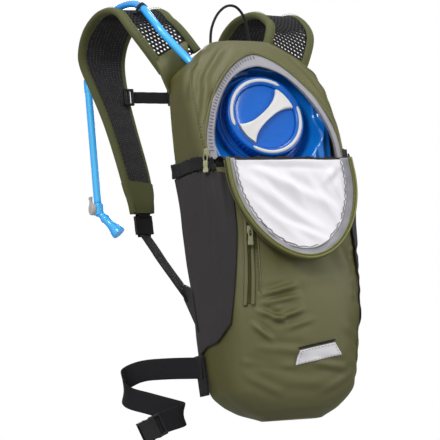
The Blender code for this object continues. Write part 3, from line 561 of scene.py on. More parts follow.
def add_piece(name, verts, faces, look, body, cad=(), uvs=None):
    """A mesh piece in the bag's measure, moved to the row frame."""
    data = bpy.data.meshes.new(name)
    data.from_pydata((np.asarray(verts, float) + SHIFT).tolist(), [], faces)
    data.materials.append(MATERIALS[look])
    if uvs is not None:
        data.uv_layers.new(name="metres").data.foreach_set("uv", np.asarray(uvs, np.float32).ravel())
    data.validate()
    data.shade_smooth()
    piece = put(name, data)
    finish_piece(piece, body, cad)
    return piece


def finish_piece(piece, body, cad):
    if body:
        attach(piece, body)
    if cad:
        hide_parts(*([cad] if isinstance(cad, str) else cad))


def modify(piece, kind, **values):
    modifier = piece.modifiers.new(kind.lower(), kind)
    for key, value in values.items():
        setattr(modifier, key, value)


def thicken(piece, depth, offset=-1.0, inner_look=0):
    modify(piece, "SOLIDIFY", thickness=depth, offset=offset, use_even_offset=False, material_offset=inner_look)


def change_mesh(piece, change):
    """Passes a piece's mesh to change() as a bmesh and takes the result back."""
    bm = bmesh.new()
    bm.from_mesh(piece.data)
    change(bm)
    bm.to_mesh(piece.data)
    bm.free()


def weld(piece, reach):
    change_mesh(piece, lambda bm: bmesh.ops.remove_doubles(bm, verts=bm.verts, dist=reach))


def fix_normals(piece):
    change_mesh(piece, lambda bm: bmesh.ops.recalc_face_normals(bm, faces=bm.faces))


def crisp(piece, angle):
    """Smooth shading with hard edges where faces meet at more than the angle."""
    def sharpen(bm):
        for edge in bm.edges:
            edge.smooth = len(edge.link_faces) == 2 and edge.calc_face_angle(0) < radians(angle)

    change_mesh(piece, sharpen)


def grid_faces(nu, nv, wrap=False):
    faces = []
    for i in range(nu if wrap else nu - 1):
        j = np.arange(nv - 1)
        a, b = i * nv, ((i + 1) % nu) * nv
        faces += np.stack((a + j, b + j, b + j + 1, a + j + 1), -1).tolist()
    return faces


def grid_uvs(nu, nv, size_u, size_v):
    u = np.broadcast_to((size_u * np.arange(nu) / (nu - 1))[:, None], (nu, nv))
    at = np.stack((u, np.broadcast_to(np.linspace(0, size_v, nv), (nu, nv))), -1)
    return np.stack((at[:-1, :-1], at[1:, :-1], at[1:, 1:], at[:-1, 1:]), 2).reshape(-1, 2)


def ring_faces(rows, sides, closed=False, caps=True):
    """Faces between rings of points, with a cap on each end unless the last ring meets the first."""
    faces = []
    for i in range(rows if closed else rows - 1):
        j, n = np.arange(sides), (i + 1) % rows
        k = (j + 1) % sides
        faces += np.stack((i * sides + j, i * sides + k, n * sides + k, n * sides + j), -1).tolist()
    if caps and not closed:
        faces += [list(range(sides))[::-1], list(range((rows - 1) * sides, rows * sides))]
    return faces


def ring_uvs(along, around, caps=True):
    """UVs for ring_faces, from the distance along at each ring and around at each corner."""
    around = np.broadcast_to(around, (len(along) - 1, np.shape(around)[-1]))
    left, right = around[:, :-1], around[:, 1:]
    low, high = (np.broadcast_to(u[:, None], left.shape) for u in (along[:-1], along[1:]))
    uvs = np.stack((low, left, low, right, high, right, high, left), -1).reshape(-1, 2)
    return np.concatenate((uvs, np.zeros((2 * left.shape[1], 2)))) if caps else uvs


def sheet(name, points, look, body, cad=(), thick=0.0, offset=-1.0):
    """A fabric sheet from a grid of points (rows, columns, 3), with UVs in metres."""
    points = np.asarray(points, float)
    nu, nv = points.shape[:2]
    size_u = np.linalg.norm(np.diff(points[:, nv // 2], axis=0), axis=1).sum()
    size_v = np.linalg.norm(np.diff(points[nu // 2], axis=0), axis=1).sum()
    piece = add_piece(name, points.reshape(-1, 3), grid_faces(nu, nv), look, body, cad,
                      grid_uvs(nu, nv, size_u, size_v))
    if thick:
        thicken(piece, thick, offset)
    return piece


def loft(name, rings, look, body, cad=(), uvs=None):
    """A closed form from rings of points (rows, points, 3)."""
    rows, sides = rings.shape[:2]
    piece = add_piece(name, rings.reshape(-1, 3), ring_faces(rows, sides), look, body, cad, uvs)
    fix_normals(piece)
    return piece


def tube_points(line, radius, sides, flat=1.0, closed=False):
    """Rings round a line. radius may be a list; flat scales the ring along its normal."""
    pts = as_array(line)
    radii = np.broadcast_to(np.asarray(radius, float), (len(pts),))
    along = unit(np.roll(pts, -1, 0) - np.roll(pts, 1, 0) if closed else np.gradient(pts, axis=0))
    side = np.cross(along[0], (0, 0, 1.0))
    if np.linalg.norm(side) < 0.1:
        side = np.cross(along[0], (1.0, 0, 0))
    sides_at = []
    for a in along:
        side = unit(side - a * (side @ a))
        sides_at.append(side)
    side = np.array(sides_at)
    up = np.cross(along, side)
    angle = np.linspace(0, 2 * pi, sides, endpoint=False)
    ring = side[:, None] * np.cos(angle)[None, :, None] + up[:, None] * flat * np.sin(angle)[None, :, None]
    return pts[:, None] + ring * radii[:, None, None]


def tube(name, line, radius, look, body, cad=(), sides=14, flat=1.0, closed=False):
    """A round or flattened cord, hose or piping with closed ends."""
    rings = tube_points(line, radius, sides, flat, closed)
    count = len(rings)
    uvs = ring_uvs(length_of(line) * np.arange(count + closed) / count,
                   2 * pi * radius * np.arange(sides + 1) / sides, not closed)
    add_piece(name, rings.reshape(-1, 3), ring_faces(count, sides, closed), look, body, cad, uvs)


def facing(axis):
    """A rotation that turns +Z onto the axis."""
    ahead, across = Vector(axis).normalized(), Vector((1, 0, 0))
    if abs(ahead.dot(across)) > 0.99:
        across = Vector((0, 1, 0))
    side = (across - ahead * across.dot(ahead)).normalized()
    return Matrix((side, ahead.cross(side), ahead)).transposed()


def turned(name, profile, centre, axis, look, body, cad=(), steps=96, closed=True):
    """A turned piece; profile has (radius, distance along the axis) pairs."""
    radius, along = np.array(profile, float).T
    count = len(radius)
    angle = np.linspace(0, 2 * pi, steps, endpoint=False)[:, None]
    local = np.stack((radius * np.cos(angle), radius * np.sin(angle), np.broadcast_to(along, (steps, count))), -1)
    world = local @ np.array(facing(axis)).T + np.array(centre)
    faces = grid_faces(steps, count, wrap=True)
    if closed:
        j = count - 1
        faces += [(i * count + j, ((i + 1) % steps) * count + j, ((i + 1) % steps) * count, i * count)
                  for i in range(steps)]
    piece = add_piece(name, world.reshape(-1, 3), faces, look, body, cad)
    weld(piece, 1e-6)
    fix_normals(piece)
    piece.data.shade_smooth()
    crisp(piece, 38)


# Half of a woven tape's section: distance across in widths, distance out in half thicknesses.
TAPE_ACROSS = np.array((-0.5, -0.485, -0.44, -0.33, -0.17, 0, 0.17, 0.33, 0.44, 0.485, 0.5))
TAPE_OUT = np.array((0.0, 0.75, 0.94, 1, 1, 1, 1, 1, 0.94, 0.75, 0.0))


def band(name, line, width, look, body, across, cad=(), thick=0.0016, waves=0.0):
    """Flat woven tape along a line, with rounded edges. across is a vector, or gives one at a share."""
    pts = as_array(line)
    count = len(pts)
    along = unit(np.gradient(pts, axis=0))
    wide = as_array([across(k / (count - 1)) if callable(across) else across for k in range(count)])
    wide = unit(wide - along * (wide * along).sum(1, keepdims=True))
    out = np.cross(along, wide)
    sideways = np.concatenate((TAPE_ACROSS, TAPE_ACROSS[-2:0:-1])) * width
    outward = np.concatenate((TAPE_OUT, -TAPE_OUT[-2:0:-1])) * thick / 2
    rings = pts[:, None] + wide[:, None] * sideways[:, None] + out[:, None] * outward[:, None]
    if waves:
        ripple = np.array([noise.noise(Vector(p) * 45) for p in pts]) * waves
        rings += out[:, None] * ripple[:, None, None]
    uvs = ring_uvs(length_of(line) * np.arange(count) / (count - 1), np.append(sideways, sideways[0]))
    loft(name, rings, look, body, cad, uvs)


def solids(name, centre, turn, parts, look, body, cad=(), bevel=0.0008):
    """One moulded piece from rounded boxes, a (size, place) each in the turned frame, remeshed into one skin."""
    bm = bmesh.new()
    for size, offset in parts:
        made = bmesh.ops.create_cube(bm, size=1)
        bmesh.ops.scale(bm, vec=Vector(size), verts=made["verts"])
        place = Matrix.Translation(centre + turn @ Vector(offset)) @ turn.to_4x4()
        bmesh.ops.transform(bm, matrix=place, verts=made["verts"])
    bm.transform(Matrix.Translation(Vector(SHIFT)))
    data = bpy.data.meshes.new(name)
    bm.to_mesh(data)
    bm.free()
    data.materials.append(MATERIALS[look])
    piece = put(name, data)
    modify(piece, "REMESH", mode="VOXEL", voxel_size=0.00045, use_smooth_shade=True)
    modify(piece, "SMOOTH", iterations=int(bevel / 0.0002), factor=0.5)
    apply_modifiers(piece)
    finish_piece(piece, body, cad)


def apply_modifiers(piece):
    """Replaces a piece's mesh with its evaluated mesh."""
    graph = bpy.context.evaluated_depsgraph_get()
    done = bpy.data.meshes.new_from_object(piece.evaluated_get(graph))
    old = piece.data
    piece.modifiers.clear()
    piece.data = done
    done.name = old.name
    bpy.data.meshes.remove(old)


def bars(name, pairs, radius, look, body, rise=None):
    """Many short round-ended bars in one piece, each between two points; rise lifts its middle."""
    verts, faces = [], []
    for a, b in pairs:
        a, b = Vector(a), Vector(b)
        up = Vector(rise(a)) * radius if rise else Vector()
        mid = (a + b) / 2 + up * 1.6
        rings = tube_points([a, a.lerp(mid, 0.6) + up * 0.5, mid, b.lerp(mid, 0.6) + up * 0.5, b],
                            [radius * 0.5, radius, radius, radius, radius * 0.5], 6)
        faces += [[len(verts) + corner for corner in face] for face in ring_faces(5, 6)]
        verts += rings.reshape(-1, 3).tolist()
    add_piece(name, verts, faces, look, body)


def stitches(name, line, normal_at, look, body, length=0.0026, gap=0.0016):
    """A row of short thread stitches that lie on a surface."""
    path = even_path(line, max(2, int(length_of(line) / (length + gap)) * 2 + 1))
    starts = range(0, len(path) - 1, 2)
    shares = iter([k / (len(path) - 1) for k in starts])
    bars(name, [(path[k], path[k + 1]) for k in starts], 0.00035, look, body,
         lambda at: normal_at(next(shares)))


# ---------------------------------------------------------------- bag body
def bag_rings(heights, count):
    """Rings round the bag with evenly spaced points, from the back's middle round by -X."""
    angle = np.linspace(radians(90), radians(450), 2881)
    return np.array([resample(bag_points(angle, height), count + 1)[:-1] for height in heights])


def in_opening(x, z):
    return (z > FOLD_HEIGHT - FLAP_START) & (np.abs(x) < OPENING_HALF_WIDTH) & (z < rim_top(np.abs(x)))


def make_shell():
    """The main fabric body: a lofted skin with folds, an opening in its upper front and an inside in dark grey,
    the pale lining with painted shade.
    """
    heights = BAG_HEIGHT * (1 - np.cos(np.linspace(0.03, pi - 0.03, 290))) / 2
    rings = bag_rings(heights, 400)
    nu, nv = rings.shape[:2]
    across = np.roll(rings, -1, 1) - np.roll(rings, 1, 1)
    normal = unit(np.cross(np.gradient(rings, axis=0), across))
    normal *= np.sign((normal * (rings - rings.mean(1, keepdims=True))).sum(-1, keepdims=True))
    near_ends = np.clip(np.minimum(heights, BAG_HEIGHT - heights) / 0.02, 0.2, 1)
    flat_back = np.clip((-rings[..., 1] - 0.004) / 0.02, 0.15, 1)
    points = rings + normal * (fabric_lift(rings) * near_ends[:, None] * flat_back)[..., None]
    x, y, z = rings.reshape(-1, 3).T
    hole = in_opening(x, z) & (y < -0.03)
    mesh = bmesh.new()
    made = [mesh.verts.new(v) for v in points.reshape(-1, 3) + SHIFT]
    for face in ring_faces(nu, nv, caps=False):
        if not all(hole[v] for v in face):
            mesh.faces.new([made[v] for v in face])
    outline = rim_outline(0.0, -FLAP_START, 700)
    lower = np.stack((np.linspace(-OPENING_HALF_WIDTH, OPENING_HALF_WIDTH, 160),
                      np.full(160, FOLD_HEIGHT - FLAP_START)), -1)
    outline = np.concatenate((outline, lower))
    for index, vert in enumerate(made):
        if vert.link_faces and vert.is_boundary and 0.1 < z[index] < 0.45 and y[index] < -0.02:
            near = outline[np.argmin(((outline - (x[index], z[index])) ** 2).sum(1))]
            vert.co = Vector(on_front(near[0], near[1], 0.0) + SHIFT)
    for row in (0, nu - 1):
        mesh.faces.new([made[row * nv + j] for j in range(nv)])
    loose = [v for v in mesh.verts if not v.link_faces]
    bmesh.ops.delete(mesh, geom=loose, context="VERTS")
    bmesh.ops.recalc_face_normals(mesh, faces=mesh.faces)
    layer = mesh.loops.layers.uv.new("metres")
    for face in mesh.faces:
        for loop in face.loops:
            at = loop.vert.co
            front = abs(face.normal.y) > abs(face.normal.x)
            loop[layer].uv = (at.x if front else at.y, at.z)
    data = bpy.data.meshes.new("bag_body")
    mesh.to_mesh(data)
    mesh.free()
    data.materials.append(MATERIALS["olive_fabric"])
    data.materials.append(MATERIALS["shaded_inner_lining"])
    data.shade_smooth()
    piece = put("bag_body", data)
    centre = Vector((0, -0.06, 0.2)) + Vector(SHIFT)
    sample = max(data.polygons, key=lambda p: p.center.x)
    if (sample.center - centre).dot(sample.normal) < 0:
        data.flip_normals()
    # The inner faces take the darkened lining, painted shade.
    thicken(piece, 0.0016, inner_look=1)
    finish_piece(piece, "pack", "main_shell")


def seam(name, points, normals):
    """A folded seam: a low ridge with a row of stitches beside it."""
    tube(name, points + normals * 0.00036, 0.0009, "olive_fabric", "pack", sides=8, flat=0.7)
    line = points + unit(np.cross(np.gradient(points, axis=0), normals)) * 0.0024 + normals * 0.0002
    count = len(points)
    stitches(name + "_stitches", line, lambda s: normals[min(count - 1, int(s * count))], "olive_binding",
             "pack")


def make_seams():
    share = np.linspace(0, 1, 60)
    for name, xs, zs in (("welt_seam", (-0.0500, -0.0530, -0.0560), (0.222, 0.180, 0.140)),
                         ("front_dart", (0.0800, 0.0790, 0.0700), (0.285, 0.160, 0.060))):
        x, z = (np.interp(share, (0, 0.5, 1), values) for values in (xs, zs))
        seam(name, on_front(x, z, 0.0), front_normals(x, z))
    heights = np.linspace(0.305, 0.425, 50)
    for side, sign in SIDES:
        angle = np.full(50, radians(207) if sign < 0 else pi - radians(207))
        points = on_bag(angle, heights, 0.0)
        seam("shoulder_seam_" + side, points, unit(points - on_bag(angle, heights, -0.01)))


def rim_band(inner, outer, outset, rows, top):
    """Grid of points along the opening's edge, between two insets and wider by top at the arch's top."""
    lines = []
    for share in np.arange(rows) / (rows - 1):
        x, z = rim_outline(outer + (inner - outer) * share, 0.002, 220).T
        lines.append(off_front(x, z - top * share * np.exp(-(x / 0.032) ** 2), outset))
    return np.stack(lines, 1)


def coil_along(name, path, look, body, cad=(), radius=0.0009, pitch=0.0019):
    """Zip teeth as one fine coil along a path."""
    steps = 7
    even = as_array(even_path(path, int(length_of(path) / pitch) * steps))
    along = unit(np.gradient(even, axis=0))
    side = unit(np.cross(along, (0, -1.0, 0.02)))
    angle = (np.arange(len(even)) * 2 * pi / steps)[:, None]
    line = even + side * radius * 1.2 * np.cos(angle) + np.cross(along, side) * radius * np.sin(angle)
    tube(name, line, 0.00042, look, body, cad, sides=5)


def make_rim():
    """Tape, zip coil and rolled binding round the opening, and the binding of its lower edge."""
    sheet("rim_tape", rim_band(0.0094, -0.0004, -0.0014, 7, 0.0080), "zip_tape", "pack", thick=0.0007)
    coil_along("rim_coil", off_front(*rim_outline(0.0096, 0.002, 240).T, -0.0024), "zip_tape", "pack", "body_zip")
    outer, inner = (off_front(*rim_outline(inset, 0.004, 150).T, -0.0007) for inset in (0.0030, 0.0078))
    # Painted shadow: dark bars across the tape in the tape_shadow colour.
    bars("rim_tape_shadow_bars", [(outer[k], inner[k]) for k in range(4, 76, 2)], 0.0010, "tape_shadow", "pack")
    x, z = rim_outline(0.0002, -0.002, 260).T
    tube("rim_binding", on_front(x, z, 0.0004), 0.0019, "olive_fabric", "pack", sides=10, flat=0.62)
    normals = front_normals(x, z)
    stitches("rim_stitches", on_front(x * 1.035, z + 0.0022, 0.0006),
             lambda s: normals[min(259, int(s * 260))], "coil_green", "pack")


# ---------------------------------------------------------------- flap
def swing(points):
    """Turns points of the closed flap to its open place, about the fold line."""
    pivot = np.array((0, FOLD_Y, FOLD_HEIGHT))
    turn = np.array(Matrix.Rotation(FOLD_TRAVEL, 3, "X"))
    return (np.asarray(points, float) - pivot) @ turn.T + pivot


def flap_top(x, inset=0.0):
    """Height of the closed flap's edge above x."""
    return arch(x, OPENING_HALF_WIDTH - FLAP_INSET - inset, OPENING_ARCH - FLAP_SHORT - inset, FLAP_POWER)


def flap_outline(inset, start):
    """The closed flap's edge as 240 (x, height) rows at even distances."""
    return arch_outline(OPENING_HALF_WIDTH - FLAP_INSET - inset, FLAP_POWER, lambda x: flap_top(x, inset), start,
                        240, 900)


def flap_band(inner, outer, outset, rows, lift=lambda x, z: 0.0):
    """Grid of points along the flap's edge between two insets, turned open."""
    lines = []
    for k in range(rows):
        x, z = flap_outline(outer + (inner - outer) * k / (rows - 1), 0.002).T
        lines.append(off_front(x, z, outset + lift(x, z)))
    return swing(np.stack(lines, 1))


def flap_grid(nu, nv, inset, outset, lift):
    """Points of the closed flap between the fold and its arch, turned open."""
    reach = OPENING_HALF_WIDTH - FLAP_INSET - inset
    bottom = FOLD_HEIGHT + FLAP_START
    x = reach * np.sin((np.linspace(0, 1, nu) - 0.5) * pi)[:, None]
    z = bottom + (flap_top(x, inset) - bottom) * np.linspace(0, 1, nv)[None, :]
    x = np.broadcast_to(x, z.shape)
    return swing(off_front(x, z, outset + lift(x, z)))


# Creases in the flap's lining: two (x, z) ends on the closed flap, width and height.
LINING_FOLDS = [(-0.066, 0.318, 0.030, 0.392, 0.0075, 0.0034), (-0.052, 0.308, 0.052, 0.362, 0.0070, 0.0030),
                (-0.058, 0.345, -0.004, 0.400, 0.0065, 0.0026), (0.018, 0.318, 0.054, 0.384, 0.0060, 0.0028),
                (-0.014, 0.310, 0.012, 0.362, 0.0055, 0.0020), (0.050, 0.312, 0.062, 0.352, 0.0045, 0.0026),
                (-0.030, 0.372, 0.034, 0.404, 0.0050, 0.0022), (-0.070, 0.306, 0.066, 0.312, 0.0045, -0.0014),
                (0.066, 0.306, 0.040, 0.330, 0.0045, 0.0020), (-0.040, 0.322, -0.020, 0.352, 0.0045, 0.0014)]


def lining_lift(x, z):
    """Creases of the flap's loose lining, away from the closed flap's outside."""
    lift = np.zeros(x.shape)
    for x0, z0, x1, z1, width, rise in LINING_FOLDS:
        run = np.array((x1 - x0, z1 - z0))
        share = np.clip(((x - x0) * run[0] + (z - z0) * run[1]) / (run @ run), 0, 1)
        gap = np.hypot(x - x0 - share * run[0], z - z0 - share * run[1])
        side = np.sign((x - x0) * run[1] - (z - z0) * run[0])
        crest = np.exp(-(gap / width) ** 2) - 0.5 * np.exp(-((gap - 1.6 * width) / width) ** 2) * (side > 0)
        lift += rise * np.sin(pi * np.clip(share * 0.9 + 0.05, 0, 1)) * crest
    slow = np.array([noise.noise(Vector((a * 26, b * 26, 3.1))) for a, b in zip(x.ravel(), z.ravel())])
    return -np.clip(lift + 0.0014 * slow.reshape(x.shape) + 0.0006, -0.0016, 0.0055)


def make_flap():
    outer = flap_grid(90, 60, 0.0, 0.0006, lambda x, z: 0.0004 * np.sin(z * 160) * np.cos(x * 90))
    sheet("flap_outer", outer, "olive_fabric", "flap", "front_flap", thick=0.0010)
    inner = flap_grid(130, 90, 0.0122, -0.0022, lining_lift)
    sheet("flap_inner", inner, "grey_lining", "flap", "flap_lining", thick=0.0006)
    ragged = flap_band(0.0144, 0.0020, -0.0026, 7,
                       lambda x, z: 0.0005 * np.sin(x * 210 + z * 90) + 0.0004 * np.sin(z * 310))
    sheet("flap_tape", ragged, "zip_tape", "flap", thick=0.0006)
    sheet("flap_binding", flap_band(0.0036, -0.0012, -0.0030, 6), "olive_fabric", "flap", thick=0.0034,
          offset=1.0)
    beads, coil = (swing(off_front(*flap_outline(inset, 0.003).T, -0.0068)) for inset in (0.0002, 0.0030))
    tube("flap_coil_a", beads, 0.0006, "coil_green", "flap", "flap_zip", sides=8)
    coil_along("flap_coil_b", coil, "coil_green", "flap", radius=0.0006, pitch=0.0016)
    # Painted shade: a ragged dark line in the tape_shadow colour along the tape's inner edge.
    path = swing(off_front(*flap_outline(0.0139, 0.004).T, -0.0040))
    step = np.arange(240)
    path += np.stack((0.0007 * np.sin(step * 0.9), np.zeros(240), 0.0006 * np.sin(step * 0.5)), -1)
    tube("flap_tape_shadow_line", path, 0.0006, "tape_shadow", "flap", sides=6)
    make_fold()


def make_fold():
    """The soft strip over the fold line, shaped as a fixed curve from the bag to the open flap."""
    x = (OPENING_HALF_WIDTH - FLAP_INSET) * np.sin((np.linspace(0, 1, 80) - 0.5) * pi)
    edge = np.full(80, FOLD_HEIGHT - FLAP_START)
    rim = on_front(x, edge + 0.0015, 0.0006)
    first, second = (swing(front_points(x, FOLD_HEIGHT + FLAP_START + up)) for up in (0, 0.004))
    middle, half = (rim + first) / 2, (first - rim) / 2
    bulge = np.array((0, 0, 1.0)) * np.linalg.norm(half, axis=1, keepdims=True) * 0.55
    arc = [middle - half * cos(pi * k / 9) + bulge * sin(pi * k / 9) for k in range(1, 9)]
    grid = np.stack([on_front(x, edge - 0.004, 0.0003), rim, *arc, first, second], 1)
    piece = sheet("flap_fold_strip", grid, "black_knit", None, thick=0.0009, offset=0.0)
    apply_modifiers(piece)
    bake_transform(piece)


# ---------------------------------------------------------------- side pockets, front pocket and patch
def side_angle(share, end, sign):
    sweep = np.radians(128 + (end - 128) * share)
    return sweep if sign < 0 else pi - sweep


def make_side_pocket(side, sign):
    """Stretch panel with a hem, and the gathered elastic over its upper edge."""
    u, v = np.linspace(0, 1, 60)[:, None], np.linspace(0, 1, 90)[None, :]
    low = 0.088 + 0.022 * u ** 3 - 0.008 * np.sin(pi * u)
    height = low + (0.2965 - 0.0175 * u - low) * v
    angle = side_angle(u, 211 + 270 * (height - 0.145), sign)
    pull = 0.0007 * np.sin(u * 46) * v ** 3 + 0.0005 * np.sin(height * 60 + u * 9)
    points = on_bag(angle, height, 0.0024 + pull)
    sheet("stretch_pocket_" + side, points, "charcoal_stretch", "pack", "side_pocket_" + side, thick=0.0010,
          offset=0.0)
    tube("pocket_hem_" + side, np.concatenate((points[:, 0], points[-1, 1:])), 0.0011, "charcoal_stretch", "pack",
         sides=8, flat=0.7)
    u, v = np.linspace(0, 1, 220)[:, None], np.linspace(0, 1, 12)[None, :]
    height = 0.2985 - 0.015 * u + 0.0155 * v + 0.0008 * np.sin(u * 97)
    gather = 0.0014 * np.sin(u * 165 + 1.6 * np.sin(u * 21)) * (0.35 + 0.65 * np.abs(2 * v - 1) ** 0.7)
    sheet("gathered_elastic_" + side, on_bag(side_angle(u, 224, sign), height, 0.0042 + gather), "black_knit",
          "pack", "pocket_elastic_" + side, thick=0.0012, offset=0.0)


PATCH_MIDDLE = (0.009, 0.0695)
PATCH_TILT = radians(9)


def on_patch(x, z, outset, lean=PATCH_TILT):
    """Points on the front from distances along and up the tilted patch."""
    return on_front(PATCH_MIDDLE[0] + x * cos(PATCH_TILT) - z * sin(PATCH_TILT),
                    PATCH_MIDDLE[1] + x * sin(PATCH_TILT) + z * cos(lean), outset)


def pocket_strip(left, right, top, low, outset, nu=8):
    """Grid of points on the front along the pocket's zip, between two distances beside it."""
    u, v = np.linspace(0, 1, nu)[:, None], np.linspace(0, 1, 90)[None, :]
    z = low + (top - low) * v + 0 * u
    x = POCKET_LOW.x + (POCKET_TOP.x - POCKET_LOW.x) * (z - POCKET_LOW.z) / (POCKET_TOP.z - POCKET_LOW.z)
    return on_front(x + left + (right - left) * u, z, outset)


def make_front_pocket():
    """Vertical zip with its welt, and the pale patch with its light loop."""
    sheet("pocket_tape", pocket_strip(-0.0048, 0.0048, 0.2260, 0.1290, 0.0009), "olive_binding", "pack",
          "pocket_zip_tape", thick=0.0006, offset=0.0)
    for name, left in (("pocket_lip_left", -0.0052), ("pocket_lip_right", 0.0016)):
        points = pocket_strip(left, left + 0.0036, 0.2280, 0.1270, 0.0016, 7)
        bulge = np.sin(np.linspace(0, pi, 7))[:, None] * 0.0009
        points = points + front_normals(points[..., 0], points[..., 2]) * bulge[..., None]
        sheet(name, points, "olive_fabric", "pack", thick=0.0007, offset=0.0)
    coil_along("pocket_coil", pocket_strip(0, 0, 0.2240, 0.1310, 0.0014, 2)[0, ::-1], "olive_binding", "pack",
               radius=0.0008, pitch=0.0017)
    u, v = np.linspace(0, 1, 40)[:, None], np.linspace(0, 1, 16)[None, :]
    sheet("pale_patch", on_patch(0.061 * (u - 0.5) * (1 - 0.24 * v), 0.0150 * (v - 0.5) + 0 * u, 0.0012),
          "reflective_white", "pack", "reflective_patch", thick=0.0008, offset=0.0)
    tube("light_loop", on_patch(np.linspace(-0.0235, 0.0235, 40), 0.0100, 0.0010, 0.0), 0.0021,
         "black_webbing", "pack", sides=10, flat=0.5)
    border = on_patch(np.concatenate((np.linspace(-0.0275, 0.0275, 40), np.linspace(0.0220, -0.0220, 40))),
                      np.concatenate((np.full(40, -0.0062), np.full(40, 0.0060))), 0.0018)
    stitches("patch_stitches", list(border) + [border[0]], lambda s: (0, -1, 0), "zip_tape", "pack")


# ---------------------------------------------------------------- reservoir, sleeve and fill port
FILM_LEFT, FILM_RIGHT = 0.970, 0.990  # shares of the film's half width that the shell leaves free


def make_reservoir():
    """Welded film bag: a pillow with a flat weld round it and ripples near the port."""
    heights = np.linspace(0.052, 0.4290, 170)
    halves = np.interp(heights, (0.052, 0.070, 0.12, 0.25, 0.29, 0.345, 0.380, 0.405, 0.429),
                       (0.022, 0.052, 0.070, 0.0870, 0.0922, 0.0918, 0.0870, 0.0790, 0.045))
    t = np.linspace(-1, 1, 150)[None, :]
    x = halves[:, None] * np.sign(t) * np.abs(t) ** 0.9 * np.where(t < 0, FILM_LEFT, FILM_RIGHT)
    z = np.broadcast_to(heights[:, None], x.shape)
    profile = (1 - np.abs(t) ** 18) ** 0.5
    weld = np.clip((0.431 - heights) / 0.012, 0, 1)[:, None] ** 0.6
    away = np.hypot(x - PORT.x, z - PORT.z)
    # The front: flat under the port, out to the wall beside it, and following the bag below.
    at_port = PORT.y + (z - PORT.z) * tan(PORT_LEAN) + 0.0004
    beside = np.clip((away - 0.0605) / np.where(x > 0, 0.015, 0.045), 0, 1) ** 0.9
    upper = np.maximum(at_port + (front_y(x, z) + 0.0085 - at_port) * beside, -0.0800)
    lower = np.interp(z, (0.052, 0.09, 0.20, 0.262, 0.290), (-0.034, -0.050, -0.061, -0.062, -0.075))
    mixing = np.clip((z - 0.275) / 0.030, 0, 1)
    front = lower * (1 - mixing) + upper * mixing
    front = -0.0200 + (front + 0.0200) * profile * weld
    round_port = np.arctan2(z - PORT.z, x - PORT.x)
    ripple = 0.0020 * np.exp(-((away - 0.072) / 0.008) ** 2) * np.sin(round_port * 11 + 1)
    tall = 0.0026 * np.sin(x * 420 + 3.0 * np.sin(z * 15)) * np.clip((np.abs(x - 0.004) - 0.058) / 0.012, 0, 1)
    bumpy = np.array([noise.noise(Vector((a * 30, b * 18, 1.7))) for a, b in zip(x.ravel(), z.ravel())])
    clear = np.clip((away - 0.060) / 0.006, 0, 1)
    front = front + (ripple - tall + 0.0030 * bumpy.reshape(x.shape)) * profile * clear
    front = np.maximum(front, front_y(x, z) + 0.0060)
    back = np.broadcast_to(-0.0140 - 0.0060 * (1 - (1 - t ** 4) ** 0.5), front.shape)
    rings = np.concatenate((np.stack((x, front, z), -1), np.stack((x, back, z), -1)[:, ::-1][:, 1:-1]), 1)
    loft("reservoir", rings, "reservoir_film", "pack", "reservoir_bag")
    edge = [(-halves[i] * FILM_LEFT - 0.0010, -0.0210, heights[i]) for i in range(4, 169, 3)]
    edge += [(across, -0.0210, 0.4300) for across in np.linspace(-halves[-1], halves[-1], 12)]
    edge += [(halves[i] * FILM_RIGHT + 0.0010, -0.0210, heights[i]) for i in range(168, 3, -3)]
    band("reservoir_weld", even_path(edge, 150), 0.0030, "reservoir_film", "pack",
         lambda s: Vector((1, 0, 0)) if abs(s - 0.5) > 0.12 else UPRIGHT, thick=0.0012)


def port_place(along, radius, angle):
    return PORT + facing(PORT_AXIS) @ Vector((radius * cos(angle), radius * sin(angle), along))


PORT_AXIS = Vector((0, -cos(PORT_LEAN), sin(PORT_LEAN)))


